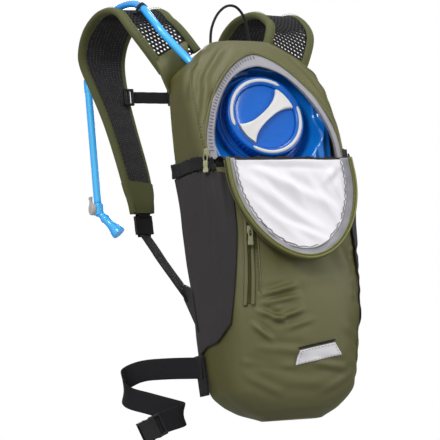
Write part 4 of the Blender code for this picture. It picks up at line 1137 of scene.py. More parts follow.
def make_port():
    """Flange with concentric ridges and neck; cap with a recessed face, two pale arcs and a waisted bar."""
    ridges = [(0.0590, 0.0014), (0.0588, 0.0034), (0.0578, 0.0047), (0.0560, 0.0052), (0.0550, 0.0046),
              (0.0541, 0.0046), (0.0532, 0.0058), (0.0518, 0.0061), (0.0508, 0.0052), (0.0500, 0.0052),
              (0.0490, 0.0060), (0.0440, 0.0062), (0.0425, 0.0064), (0.0425, 0.0122), (0.0420, 0.0125),
              (0.0380, 0.0125), (0.0375, 0.0120), (0.0375, 0.0014)]
    turned("port_flange", ridges, PORT, PORT_AXIS, "cap_blue", "pack", "fill_port")
    seal = [(0.0421 + 0.0010 * cos(a), 0.0142 + 0.0010 * sin(a)) for a in np.linspace(0, 2 * pi, 12)[:-1]]
    turned("port_seal", seal, PORT, PORT_AXIS, "seal_rubber", "seal_ring", "cap_seal")
    ring = [(0.0497, 0.0080), (0.0500, 0.0086), (0.0500, 0.0190), (0.0496, 0.0200), (0.0488, 0.0206),
            (0.0474, 0.0208), (0.0474, 0.0204), (0.0428, 0.0204), (0.0428, 0.0208), (0.0415, 0.0206),
            (0.0402, 0.0196), (0.0395, 0.0182), (0.0392, 0.0160), (0.0438, 0.0158), (0.0438, 0.0080)]
    turned("cap_body", ring, PORT, PORT_AXIS, "cap_blue", "cap", "cap_ring")
    dish = [(0.0001, 0.0160), (0.0280, 0.0160), (0.0345, 0.0164), (0.0380, 0.0172), (0.0388, 0.0174),
            (0.0388, 0.0150), (0.0001, 0.0150)]
    turned("cap_dish", dish, PORT, PORT_AXIS, "cap_blue", "cap", "cap_disc", closed=False)
    ribs = [[port_place(along, 0.0502, 2 * pi * k / 60) for along in (0.0092, 0.0182)] for k in range(60)]
    bars("cap_ribs", ribs, 0.0008, "cap_blue", "cap")
    for name, start, end in (("cap_arc_upper", 58, 196), ("cap_arc_lower", 238, 376)):
        arc = []
        angles = np.radians(np.linspace(start, end, 70))
        for a in angles:
            edge = min(1.0, 9 * min(a - angles[0], angles[-1] - a) + 0.25)
            section = ((0.0203, -0.0021), (0.0211, -0.0018), (0.0213, 0), (0.0211, 0.0018), (0.0203, 0.0021))
            arc.append([tuple(port_place(along, 0.0451 + half * edge, a)) for along, half in section])
        sheet(name, arc, "cap_white", "cap")
    make_grip()


def make_grip():
    """The cap's bar: narrow in the middle, flared where it meets the ring, with rounded edges."""
    reach, foot = 0.0386, 0.0178
    section = ((-1, 0.0), (-0.98, 0.7), (-0.90, 0.95), (-0.7, 1.0), (-0.35, 0.94), (0, 0.90), (0.35, 0.94),
               (0.7, 1.0), (0.90, 0.95), (0.98, 0.7), (1, 0.0), (0.5, 0.0), (0, 0.0), (-0.5, 0.0))
    rows = []
    for u in np.linspace(-1, 1, 60):
        half = 0.0052 + 0.0100 * abs(u) ** 2.6
        rows.append([(u * (reach ** 2 - (half * across) ** 2) ** 0.5, half * across, foot + 0.0036 * rise)
                     for across, rise in section])
    turn = facing(PORT_AXIS) @ Matrix.Rotation(GRIP_SLOPE, 3, "Z")
    crisp(loft("cap_bar", np.array(rows) @ np.array(turn).T + np.array(PORT), "cap_white", "cap", "cap_grip"), 50)


def bag_box(node):
    """A CAD node's lowest and highest corners in the bag's measure."""
    return [Vector(corner) - Vector(SHIFT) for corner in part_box(node)]


def make_sleeve():
    """Dark sleeve that holds the reservoir, with a slightly ragged elastic edge across the opening."""
    low, high = bag_box("reservoir_sleeve")
    top_low, top_high = bag_box("sleeve_elastic")

    def hug(u, foot):
        return foot + (high.y - low.y - 0.003) * np.abs(u) ** 3

    u, v = np.linspace(-1, 1, 120)[:, None], np.linspace(0, 1, 60)[None, :]
    half = np.interp(v, (0, 0.15, 1), (0.050, 0.066, high.x))
    y = hug(u, low.y + 0.0022) + 0.0006 * np.sin(u * 14 + v * 9)
    points = np.stack(np.broadcast_arrays(u * half, y, low.z + (high.z - low.z) * v), -1)
    sheet("sleeve_panel", points, "dark_sleeve", "pack", "reservoir_sleeve", thick=0.0009, offset=0.0)
    u, v = np.linspace(-1, 1, 260)[:, None], np.linspace(0, 1, 10)[None, :]
    y = hug(u, low.y + 0.0016) + 0.0011 * np.sin(u * 88 + np.sin(u * 17))
    z = top_low.z - 0.001 + (top_high.z - top_low.z) * v + 0.0010 * np.sin(u * 40) + 0.0007 * np.sin(u * 97)
    points = np.stack(np.broadcast_arrays(u * top_high.x, y, z), -1)
    sheet("sleeve_edge", points, "black_knit", "pack", "sleeve_elastic", thick=0.0016, offset=0.0)


def make_opening_hem():
    """Dark ragged elastic that stands up inside the opening's lower edge."""
    u, v = np.linspace(-1, 1, 300)[:, None], np.linspace(0, 1, 9)[None, :]
    z = 0.2915 + (0.0122 + 0.0008 * np.sin(u * 17) + 0.0004 * np.sin(u * 41 + 1)) * v
    depth = 0.0062 - 0.0004 * np.sin(u * 60 + 2 * np.sin(u * 13)) * v
    sheet("opening_hem", off_front(0.0865 * u + 0 * v, z, -depth), "black_knit", "pack", thick=0.0018)


def make_hanger():
    """Slotted hanger bar above the reservoir, and the cord haul loop."""
    solids("hanger_slide", Vector((0.005, -0.0380, 0.4325)), STILL,
           [((0.046, 0.0048, 0.0018), (0, 0, 0.0031)), ((0.046, 0.0048, 0.0022), (0, 0, -0.0029)),
            ((0.006, 0.0048, 0.0080), (0.0200, 0, 0)), ((0.006, 0.0048, 0.0080), (-0.0200, 0, 0)),
            ((0.030, 0.0022, 0.0070), (0, 0.0010, 0))], "cap_white", "pack", "hanger_bar")
    line = smooth_path([(x, 0.0040, z) for x, z in (
        (-0.0235, 0.4580), (-0.0195, 0.4820), (-0.0095, 0.5010), (0.0045, 0.5120), (0.0180, 0.5105),
        (0.0275, 0.4960), (0.0300, 0.4740), (0.0295, 0.4580))], 10)
    tube("haul_cord", even_path(line, 110), 0.0019, "black_webbing", "loop", "haul_loop", sides=12, flat=0.85)


# ---------------------------------------------------------------- shoulder straps and hose
def strap_frame(sign, count=28):
    """Rows (at, side, out, along, share) down a strap; side points to the wearer's outside."""
    line = even_path(smooth_path(STRAP_LINE, 6), count)
    rows = []
    for i, at in enumerate(line):
        share = i / (count - 1)
        along = (line[min(i + 1, count - 1)] - line[max(i - 1, 0)]).normalized()
        rise, twist = (radians(smooth_value(keys, share)) for keys in (STRAP_TILT, STRAP_TWIST))
        side = Vector((cos(rise) * cos(twist), sin(twist), sin(rise)))
        side = (side - along * side.dot(along)).normalized()
        row = (at, side, side.cross(along).normalized(), along)
        rows.append((*(Vector((-sign * v.x, v.y, v.z)) for v in row), share))
    return rows


strap_half = curve_of([(k, v / 2) for k, v in STRAP_WIDTH])
STRAP_STEPS = 240
PAD_START = 0.36  # share of the strap's length where the open mesh ends and the pad begins


class Strap:
    """Smooth lookup of a strap's middle surface."""

    def __init__(self, sign):
        self.rows = strap_frame(sign, STRAP_STEPS + 1)
        self.parts = [as_array([row[k] for row in self.rows]) for k in range(3)]
        self.length = length_of([row[0] for row in self.rows])

    def at(self, share, across, out=0.0):
        """A point at a share of the length, a distance across and a distance out."""
        place = np.clip(np.asarray(share, float), 0, 1) * STRAP_STEPS
        low = np.minimum(place.astype(int), STRAP_STEPS - 1)
        t = (place - low)[..., None]
        middle, side, away = ((p[low] * (1 - t) + p[low + 1] * t) for p in self.parts)
        return middle + side * np.asarray(across)[..., None] + away * np.asarray(out)[..., None]

    def out(self, share):
        return self.rows[min(STRAP_STEPS, int(share * STRAP_STEPS))][2]


# Section of the rolled binding: distance in from the strap's edge, and out.
BINDING = ((0.0088, 0.0016), (0.0084, 0.0026), (0.0050, 0.0034), (0.0015, 0.0034), (-0.0012, 0.0022),
           (-0.0021, 0.0), (-0.0012, -0.0022), (0.0015, -0.0034), (0.0050, -0.0034), (0.0084, -0.0026),
           (0.0088, -0.0016))


def make_strap(side, sign):
    """Open mesh over the shoulder, knit foam pad below, rolled binding, and a sewn tip."""
    strap = Strap(sign)
    make_strap_mesh("strap_mesh_" + side, strap)
    u, v = np.linspace(PAD_START, 0.945, 150)[:, None], np.linspace(-1, 1, 26)[None, :]
    half = strap_half(u) - 0.0012
    crown = 0.0026 + 0.0016 * (1 - v ** 4) + 0.0003 * np.sin(u * 130) * (1 - v ** 2)
    crown = crown * np.clip((u - PAD_START) / 0.06, 0, 1)
    front, back = (strap.at(u + 0 * v, v * half, out) for out in (crown + 0.0006, -crown - 0.0004))
    rings = np.concatenate((front, back[:, ::-1][:, 1:-1]), 1)
    uvs = ring_uvs(np.arange(rings.shape[0]) * 0.0018, np.arange(rings.shape[1] + 1) * 0.0016)
    loft("strap_pad_" + side, rings, "spacer_knit", "pack", "shoulder_strap_" + side, uvs=uvs)
    shares = np.linspace(0, 1, 220)
    pad = 1 + 0.25 * np.clip((shares - PAD_START) / 0.06, 0, 1)
    narrow = 1 - 0.32 * np.clip((shares - 0.42) / 0.2, 0, 1)
    for edge, way in (("inner", -1), ("outer", 1)):
        rings = [strap.at(shares, way * (strap_half(shares) - inset * narrow), rise * pad)
                 for inset, rise in BINDING]
        sheet("strap_binding_" + edge + "_" + side, np.stack(rings, 1), "olive_binding", "pack", thick=0.0006,
              offset=1.0)
        for face, level in (("front", 1), ("back", -1)):
            line = strap.at(shares, way * (strap_half(shares) - 0.0052), level * 0.0044)
            stitches("strap_stitches_%s_%s_%s" % (edge, side, face), line, lambda s: strap.out(s) * level,
                     "olive_binding", "pack", length=0.0030, gap=0.0024)
    u, v = np.linspace(0.915, 1.0, 30)[:, None], np.linspace(-1, 1, 18)[None, :]
    half = (strap_half(u) + 0.0018) * (1 - 0.34 * np.clip((u - 0.935) / 0.065, 0, 1) ** 2)
    front, back = (strap.at(u + 0 * v, v * half, way * (0.0056 - 0.0022 * v ** 6)) for way in (1, -1))
    crisp(loft("strap_tip_" + side, np.concatenate((front, back[:, ::-1]), 1), "olive_binding", "pack"), 55)


def make_strap_mesh(name, strap):
    """Spacer mesh with real staggered holes."""
    reach = 0.46
    rows = int(strap.length * reach / 0.0050)
    verts, faces, uvs_of, index = [], [], [], {}

    def vertex(share, across):
        key = (round(share * 20000), round(across * 20000))
        if key not in index:
            index[key] = len(verts)
            verts.append(tuple(strap.at(share, across)))
            uvs_of.append((share * strap.length, across))
        return index[key]

    def cell(u0, u1, lo, hi, open_cell):
        """One mesh cell: a plain face at the edges, elsewhere eight faces round a hole."""
        half0, half1 = (float(strap_half(u)) - 0.0012 for u in (u0, u1))
        um, halfm, mid = (u0 + u1) / 2, (half0 + half1) / 2, (lo + hi) / 2
        outer = [vertex(u1, hi * half1), vertex(u1, mid * half1), vertex(u1, lo * half1), vertex(um, lo * halfm),
                 vertex(u0, lo * half0), vertex(u0, mid * half0), vertex(u0, hi * half0), vertex(um, hi * halfm)]
        if not open_cell:
            return [outer]
        ru, rv = (u1 - u0) * 0.30, (hi - lo) * halfm * 0.31
        inner = [vertex(um + ru * sin(angle), mid * halfm + rv * cos(angle))
                 for angle in np.radians((45, 90, 135, 180, 225, 270, 315, 0))]
        return [[outer[k], outer[(k + 1) % 8], inner[(k + 1) % 8], inner[k]] for k in range(8)]

    for row in range(rows):
        u0, u1 = row * reach / rows, (row + 1) * reach / rows
        count = max(3, int(2 * (float(strap_half((u0 + u1) / 2)) - 0.0012) / 0.0048))
        lean = 0.5 if row % 2 else 0.0
        for col in range(-1 if lean else 0, count):
            lo, hi = (min(1.0, max(-1.0, -1 + 2 * (col + k + lean) / count)) for k in (0, 1))
            if hi - lo > 1e-6:
                faces += cell(u0, u1, lo, hi, hi - lo > 1.9 / count)
    piece = add_piece(name, verts, faces, "black_knit", "pack", uvs=[uvs_of[v] for f in faces for v in f])
    fix_normals(piece)
    weld(piece, 0.00012)
    thicken(piece, 0.0026, 0.0)
    piece.data.shade_smooth()
    modify(piece, "SUBSURF", levels=1, render_levels=1)


def make_yoke(side, sign):
    """Fabric wing from the bag's upper back shoulder up to the strap's root."""
    u = np.linspace(0, 1, 30)
    root = Strap(sign).at(np.full(30, 0.04), np.linspace(0.0290, -0.0250, 30))
    angle = 118 + 50 * u
    low = on_bag(np.radians(angle if sign < 0 else 180 - angle), 0.430 - 0.035 * u, 0.0008)
    bow = np.array((sign * 0.004, -0.003, 0.004))
    points = np.stack([low * (1 - t) + root * t + bow * sin(pi * t) for t in np.arange(24) / 23], 1)
    sheet("strap_yoke_" + side, points, "olive_fabric", "pack", thick=0.0022, offset=0.0)
    tube("yoke_piping_" + side, points[-1], 0.0016, "olive_binding", "pack", sides=10, flat=0.8)


def lock_place(strap):
    """Middle of the ladder lock under a strap's end, and the strap's last row."""
    row = strap.rows[-1]
    return row[0] + row[3] * 0.0145, row


def frame_of(wide, long, out):
    """A rotation to these axes, with the first turned round where needed to keep it right-handed."""
    turn = Matrix((wide, long, out)).transposed()
    return turn if turn.determinant() > 0 else Matrix((-wide, long, out)).transposed()


def make_ladder_lock(side, sign):
    """Plastic ladder lock: frame, three bars and a curled tail, with its two web tails."""
    centre, (_, wide, out, along, _) = lock_place(Strap(sign))
    turn = frame_of(wide, along, out)
    parts = [((0.0028, 0.0230, 0.0042), (x, 0, 0)) for x in (-0.0118, 0.0118)]
    parts += [((0.0250, 0.0030, tall), (0, y, 0))
              for y, tall in ((-0.0100, 0.0040), (-0.0010, 0.0036), (0.0098, 0.0044))]
    parts += [((0.0200, 0.0050, 0.0022), (0, 0.0120, 0.0012)), ((0.0230, 0.0200, 0.0012), (0, 0, -0.0016))]
    solids("ladder_frame_" + side, centre, turn, parts, "black_plastic", "pack", "ladder_lock_" + side)
    loop = [centre + turn @ Vector((0, y, z)) for y, z in (
        (-0.0210, 0.0), (-0.0130, 0.0026), (-0.0100, 0.0036), (-0.0068, 0.0012), (-0.0110, -0.0034),
        (-0.0210, -0.0026))]
    band("ladder_web_" + side, even_path(smooth_path(loop, 6), 40), ADJUST_WIDTH, "black_webbing", "pack", wide,
         thick=0.0014)


def make_adjust_web(side, sign):
    """Adjuster webbing from the ladder lock down to its cloth wing on the bag's side."""
    centre, row = lock_place(Strap(sign))
    start, end = centre + row[3] * 0.0125, Vector((sign * 0.0770, 0.0066, 0.1490))
    line = smooth_path([start, (start + end) / 2 + Vector((0, 0, -0.001)), end], 16)
    band("adjust_webbing_" + side, even_path(line, 70), ADJUST_WIDTH, "black_webbing", "pack",
         Vector((sign, -0.45, 0)), "adjust_web_" + side, thick=0.0015, waves=0.0006)
    low, high = (on_bag(radians(168 if sign < 0 else 12), height, 0.0022) for height in (0.110, 0.160))
    u, v = np.linspace(0, 1, 14)[:, None, None], np.linspace(0, 1, 10)[None, :, None]
    tip = np.array(line[-6]) + np.array((0, 0.001, 0.0)) + np.array((0, 0.0, 1.0)) * (u - 0.5) * 0.018
    sheet("web_wing_" + side, (low + (high - low) * u) * (1 - v) + tip * v, "black_webbing", "pack", thick=0.0026,
          offset=0.0)


def hose_path():
    """Outer drinking tube: over the left strap's outer face, down to the swinging joint."""
    line = [Vector((-0.0560, -0.0330, 0.4180)), Vector((-0.0640, -0.0190, 0.4350))]
    rise = STRAP_THICKNESS / 2 + HOSE_RADIUS + 0.0008
    for at, side, out, _, share in strap_frame(-1):
        if HOSE_ON_STRAP[0] <= share <= HOSE_ON_STRAP[1]:
            line.append(at + out * rise - side * smooth_value(HOSE_ASIDE, share))
    line.append(HOSE_JOINT + Vector((0, 0, 0.001)))
    return even_path(smooth_path(line, 4), 110)


def make_hose():
    """Drinking tube in two pieces with a sleeve at the joint, and its two keepers on the strap."""
    tube("hose_upper", hose_path(), HOSE_RADIUS, "hose_blue", "pack", ("hose_outer", "hose_inner"), sides=24)
    top = HOSE_JOINT - Vector((0, 0, 0.003))
    end = Vector((HOSE_JOINT.x, HOSE_JOINT.y, HOSE_END_HEIGHT))
    tube("hose_lower", [top.lerp(end, k / 40) for k in range(41)], HOSE_RADIUS, "hose_blue", "hose", "hose_free",
         sides=24)
    sleeve = [(0.0049, -0.0080), (0.0054, -0.0075), (0.0054, 0.0075), (0.0049, 0.0080), (0.0046, 0.0080),
              (0.0046, -0.0080)]
    turned("hose_sleeve", sleeve, HOSE_JOINT, UPRIGHT, "hose_blue", "pack", (), 48)
    base, bump = STRAP_THICKNESS / 2 + 0.0004, HOSE_RADIUS * 2 + 0.0014
    section = ((-0.0120, 0), (-0.0076, 0), (-0.0054, 0.62), (0, 1), (0.0054, 0.62), (0.0076, 0), (0.0120, 0))
    for name, share in (("keeper_upper", 0.20), ("keeper_lower", 0.44)):
        at, side, out, along, _ = min(strap_frame(-1), key=lambda row: abs(row[4] - share))
        aside = smooth_value(HOSE_ASIDE, share)
        line = smooth_path([at + side * (across - aside) + out * (base + bump * rise)
                            for across, rise in section], 5)
        band(name + "_elastic", even_path(line, 60), 0.0070, "black_webbing", "pack", along, name, thick=0.0009)


def make_valve():
    """Bite valve: pale disc and shut-off lever, blue collar, neck and a soft flared mouthpiece."""
    neck = Vector((HOSE_JOINT.x, HOSE_JOINT.y, HOSE_END_HEIGHT - 0.0004))
    hub, elbow = neck - Vector((0, 0, 0.007)), neck - Vector((0, 0, 0.010))
    collar = [(0.0048, 0.0000), (0.0064, 0.0004), (0.0070, 0.0014), (0.0070, 0.0036), (0.0066, 0.0042),
              (0.0066, 0.0096), (0.0072, 0.0102), (0.0072, 0.0126), (0.0066, 0.0140), (0.0040, 0.0150),
              (0.0001, 0.0152), (0.0001, 0.0000)]
    turned("valve_collar", collar, neck, -UPRIGHT, "hose_blue", "valve", "valve_body", 64, closed=False)
    ball = [(0.0068 * sin(a), -0.0068 * cos(a)) for a in np.linspace(0.01, pi - 0.01, 16)]
    turned("valve_elbow", ball, elbow, VALVE_DIRECTION, "hose_blue", "valve", (), 48, closed=False)
    mouth = [(0.0001, 0.0020), (0.0048, 0.0030), (0.0048, 0.0092), (0.0058, 0.0112), (0.0062, 0.0124),
             (0.0060, 0.0142), (0.0054, 0.0156), (0.0052, 0.0190), (0.0055, 0.0235), (0.0066, 0.0275),
             (0.0079, 0.0315), (0.0087, 0.0350), (0.0091, 0.0378), (0.0090, 0.0392), (0.0084, 0.0397),
             (0.0070, 0.0392), (0.0035, 0.0386), (0.0001, 0.0384)]
    turned("bite_valve", mouth, elbow, VALVE_DIRECTION, "hose_blue", "valve", "bite_mouthpiece", 64, closed=False)
    disc = [(0.0001, 0.0052), (0.0066, 0.0052), (0.0076, 0.0060), (0.0076, 0.0094), (0.0070, 0.0104),
            (0.0040, 0.0108), (0.0001, 0.0108)]
    turned("valve_disc", disc, hub, Vector((-1, 0, 0)), "valve_grey", "lever", (), 48, closed=False)
    solids("valve_lever", hub + Vector((-0.0090, 0, 0.0070)), STILL,
           [((0.0026, 0.0056, 0.0150), (0, 0, 0)), ((0.0030, 0.0070, 0.0030), (-0.0002, 0, 0.0072)),
            ((0.0026, 0.0030, 0.0100), (-0.0006, 0, -0.0010))], "valve_grey", "lever", "shutoff_lever")


# ---------------------------------------------------------------- chest strap, belt and buckles
def make_sternum():
    """Chest strap: two sliders with their webs, and the buckle's two halves."""
    for side, sign in SIDES:
        solids("sternum_clip_" + side, Vector((sign * STERNUM_END, STERNUM_Y - 0.001, STERNUM_HEIGHT)), STILL,
               [((0.0030, 0.0044, 0.0215), (-0.0052, 0, 0)), ((0.0030, 0.0044, 0.0215), (0.0052, 0, 0)),
                ((0.0130, 0.0044, 0.0026), (0, 0, 0.0094)), ((0.0130, 0.0044, 0.0026), (0, 0, -0.0094)),
                ((0.0024, 0.0040, 0.0170), (0, 0, 0))], "black_plastic", "sternum", "sternum_slider_" + side)
    for side, start, run, steps, y, beat in (("left", -0.067, 0.047, 20, 0.1450, 0.9),
                                             ("right", 0.004, 0.063, 24, 0.1506, 0.8)):
        line = [Vector((start + run * k / steps, y + 0.0004 * sin(k * beat), STERNUM_HEIGHT))
                for k in range(steps + 1)]
        band("sternum_band_" + side, line, 0.015, "black_webbing", "sternum", UPRIGHT, "sternum_web_" + side)
    buckle_female("chest_socket", Vector((-0.0085, STERNUM_Y, STERNUM_HEIGHT)), STILL, (0.022, 0.0080, 0.0200),
                  "sternum", "sternum_female")
    buckle_male("chest_plug", Vector((0.0110, STERNUM_Y, STERNUM_HEIGHT)), STILL, (0.016, 0.0070, 0.018),
                "sternum_male", "sternum_male")


def buckle_female(name, centre, turn, size, body, cad):
    """Side-release socket: hollow mouth, side windows and a web bar."""
    length, thick, tall = size
    wall = thick * 0.24
    parts = [((length * 0.66, wall, tall * 0.92), (length * 0.15, y * (thick - wall) / 2, 0)) for y in (-1, 1)]
    for z in (-1, 1):
        parts += [((length * 0.34, thick, wall * 1.2), (length * 0.31, 0, z * (tall * 0.5 - wall * 0.6))),
                  ((length * 0.12, thick * 0.9, wall * 1.4), (-length * 0.12, 0, z * (tall * 0.5 - wall * 0.7))),
                  ((length * 0.40, thick * 0.56, wall * 1.3),
                   (-length * 0.30, 0, z * (tall * 0.5 - wall * 0.65)))]
    parts += [((length * 0.10, thick * 0.95, tall), (-length * 0.14, 0, 0)),
              ((length * 0.09, thick * 0.60, tall), (-length * 0.455, 0, 0))]
    solids(name, centre, turn, parts, "black_plastic", body, cad, bevel=0.0007)


def buckle_male(name, centre, turn, size, body, cad):
    """Side-release plug: a bar for the web, two arms and a tongue."""
    length, thick, tall = size
    parts = [((length * 0.30, thick * 0.9, tall), (-length * 0.35, 0, 0)),
             ((length * 0.30, thick * 0.9, tall), (length * 0.34, 0, 0)),
             ((length * 0.70, thick * 0.6, tall * 0.14), (0, 0, tall * 0.43)),
             ((length * 0.70, thick * 0.6, tall * 0.14), (0, 0, -tall * 0.43)),
             ((length * 0.50, thick * 0.30, tall * 0.5), (length * 0.2, 0, 0))]
    solids(name, centre, turn, parts, "black_plastic", body, cad, bevel=0.0006)


BELT_LEFT = [(-0.0884, -0.0290, 0.0680), (-0.0884, -0.0140, 0.0695), (-0.1100, 0.0220, 0.0736),
             (-0.1297, 0.0450, 0.0745), (-0.1465, 0.0520, 0.0689), (-0.1559, 0.0450, 0.0585),
             (-0.1568, 0.0330, 0.0441), (-0.1403, 0.0100, 0.0332), (-0.1209, -0.0100, 0.0230),
             (-0.1135, -0.0165, 0.0190), (-0.1165, -0.0210, 0.0150), (-0.1370, -0.0205, 0.0100),
             (-0.1495, -0.0200, 0.0050)]
BELT_RIGHT = [(0.0878, -0.0130, 0.0697), (0.1020, 0.0200, 0.0690), (0.1080, 0.0600, 0.0680),
              (0.0990, 0.0980, 0.0670), (0.0770, 0.1240, 0.0660), (0.0500, 0.1360, 0.0650)]


def make_belt():
    """Belt anchors, the two belt halves and the buckle on their ends."""
    for side, sign in SIDES:
        lean = Matrix.Rotation(sign * radians(3.5), 3, "Y")
        at = Vector((sign * 0.0858, -0.0225, 0.0560))
        line = [at + lean @ Vector((sign * 0.0006, 0, 0.027 - 0.047 * k / 12)) for k in range(13)]
        band("anchor_webbing_" + side, line, 0.0230, "black_webbing", "pack", Vector((0, 1, 0)),
             "belt_anchor_" + side, thick=0.0024)
        for number, height in enumerate((0.0200, -0.0200)):
            row = [at + lean @ Vector((sign * 0.0013, -0.0060 + 0.012 * k / 6, height)) for k in range(7)]
            stitches("anchor_tack_%s_%d" % (side, number), row, lambda s: (sign, 0, 0), "black_plastic", "pack",
                     length=0.0016, gap=0.0008)
    for side, path, count, waves in (("left", BELT_LEFT, 120, 0.0010), ("right", BELT_RIGHT, 90, 0.0008)):
        band("belt_webbing_" + side, even_path(smooth_path(path, 8), count), BELT_WIDTH, "black_webbing",
             "belt_" + side, UPRIGHT, "belt_web_" + side, thick=0.0016, waves=waves)
    flip = Matrix.Rotation(radians(-22), 3, "Y") @ Matrix.Rotation(pi, 3, "Z")
    buckle_female("belt_socket", Vector(BELT_LEFT[-2]) + Vector((-0.0165, 0.0005, -0.0070)), flip,
                  (0.030, 0.0090, 0.026), "belt_left", "belt_buckle_female")
    line = smooth_path(BELT_RIGHT, 4)
    ahead = (line[-1] - line[-2]).normalized()
    turn = Matrix((ahead, UPRIGHT.cross(ahead), UPRIGHT)).transposed()
    centre = Vector(BELT_RIGHT[-1]) + ahead * 0.0080
    solids("belt_plug", centre, turn,
           [((0.0035, 0.0070, 0.0260), (-0.0042, 0, 0)), ((0.0040, 0.0070, 0.0260), (0.0042, 0, 0)),
            ((0.0100, 0.0060, 0.0034), (0, 0, 0.0113)), ((0.0100, 0.0060, 0.0034), (0, 0, -0.0113)),
            ((0.0200, 0.0024, 0.0080), (0.0110, 0, 0))], "black_plastic", "belt_right", "belt_buckle_male")
    for name, sign in (("upper", 1), ("lower", -1)):
        root = centre + ahead * 0.0066 + Vector((0, 0, sign * 0.0095))
        solids("plug_arm_" + name, root, turn,
               [((0.0200, 0.0036, 0.0024), (0.0102, 0, 0)), ((0.0060, 0.0040, 0.0034), (0.0170, 0, 0))],
               "black_plastic", "latch_" + name, "latch_arm_" + name, bevel=0.0004)


# ---------------------------------------------------------------- sliders and pulls
def hinge_place(name):
    return Vector(JOINTS[name]["pos_m"]) - Vector(SHIFT)


def make_slider(name, at, turn, size, body, cad, look):
    """Zip slider: two wings, a post and a bridge for the pull."""
    wide, long, tall = size
    parts = [((wide, long, tall * 0.34), (0, 0, -tall * 0.33)),
             ((wide * 0.88, long * 0.86, tall * 0.30), (0, 0, tall * 0.02)),
             ((wide * 0.30, long * 0.78, tall * 0.24), (0, 0, tall * 0.36)),
             ((wide * 0.32, long * 0.18, tall * 0.5), (0, long * 0.32, tall * 0.18)),
             ((wide * 0.32, long * 0.18, tall * 0.5), (0, -long * 0.32, tall * 0.18))]
    solids(name, at, turn, parts, look, body, cad, bevel=0.0005)


def make_pull(name, top, aside, down, out, length, body, cad, cord_look, tab_look):
    """Cord loop through the slider and a ribbed grip moulded over its end."""
    shape = [(0, 0), (0.0014, 0.0012), (0.0023, 0.0050), (0.0016, 0.0085), (0.0011, 0.0105)]
    line = [top + aside * a + down * d for a, d in shape]
    line += [top - aside * a + down * d for a, d in shape[:0:-1]]
    tube(name + "_cord", even_path(smooth_path(line + [line[0]], 5), 60), 0.0009, cord_look, body, sides=8)
    start = 0.0085
    parts = [((0.0050, length - start, 0.0024), (0, (length + start) / 2, 0)),
             ((0.0062, 0.0040, 0.0028), (0, length - 0.0022, 0))]
    parts += [((0.0056, 0.0009, 0.0032), (0, start + 0.0016 + k * 0.0020, 0)) for k in range(3)]
    solids(name + "_grip", top, frame_of(aside, down, out), parts, tab_look, body, cad, bevel=0.0005)


def make_zip_parts():
    """The main zip's two sliders and pulls, and the pocket's."""
    for side, sign, cord, look in (("left", -1, "khaki_cord", "khaki_plastic"),
                                   ("right", 1, "black_webbing", "black_plastic")):
        corner = Vector(front_points(sign * OPENING_HALF_WIDTH, FOLD_HEIGHT + 0.010))
        out, aside = Vector((sign, -1, 0)).normalized(), Vector((sign, 1, 0)).normalized()
        turn = Matrix((UPRIGHT.cross(out), UPRIGHT, out)).transposed()
        make_slider("zip_car_" + side, corner + out * 0.0036, turn, (0.0060, 0.0100, 0.0050), "pack",
                    "main_slider_" + side, look)
        down = (out * 0.16 - UPRIGHT).normalized()
        make_pull("zip_pull_" + side, hinge_place("main_pull_%s_swing" % side), aside, down,
                  aside.cross(down).normalized(), 0.0225, "pull_" + side, "main_pull_" + side, cord, look)
    along, aside = (Vector(JOINTS[name]["axis"]).normalized()
                    for name in ("pocket_zip_slide", "pocket_pull_swing"))
    out = aside.cross(along).normalized()
    if out.y > 0:
        out = -out
    top = hinge_place("pocket_pull_swing")
    turn = Matrix((along.cross(out), along, out)).transposed()
    make_slider("pocket_car", top - out * 0.0032, turn, (0.0066, 0.0090, 0.0034), "pocket_slider",
                "pocket_slider", "khaki_plastic")
    make_pull("pocket_tab", top, aside, along, out, 0.0185, "pocket_pull", "pocket_pull", "khaki_cord",
              "khaki_plastic")


# ---------------------------------------------------------------- padded back
PAD_STEPS = 20
PAD_PRESSURE = 4.0
PAD_LIMIT = 0.0030


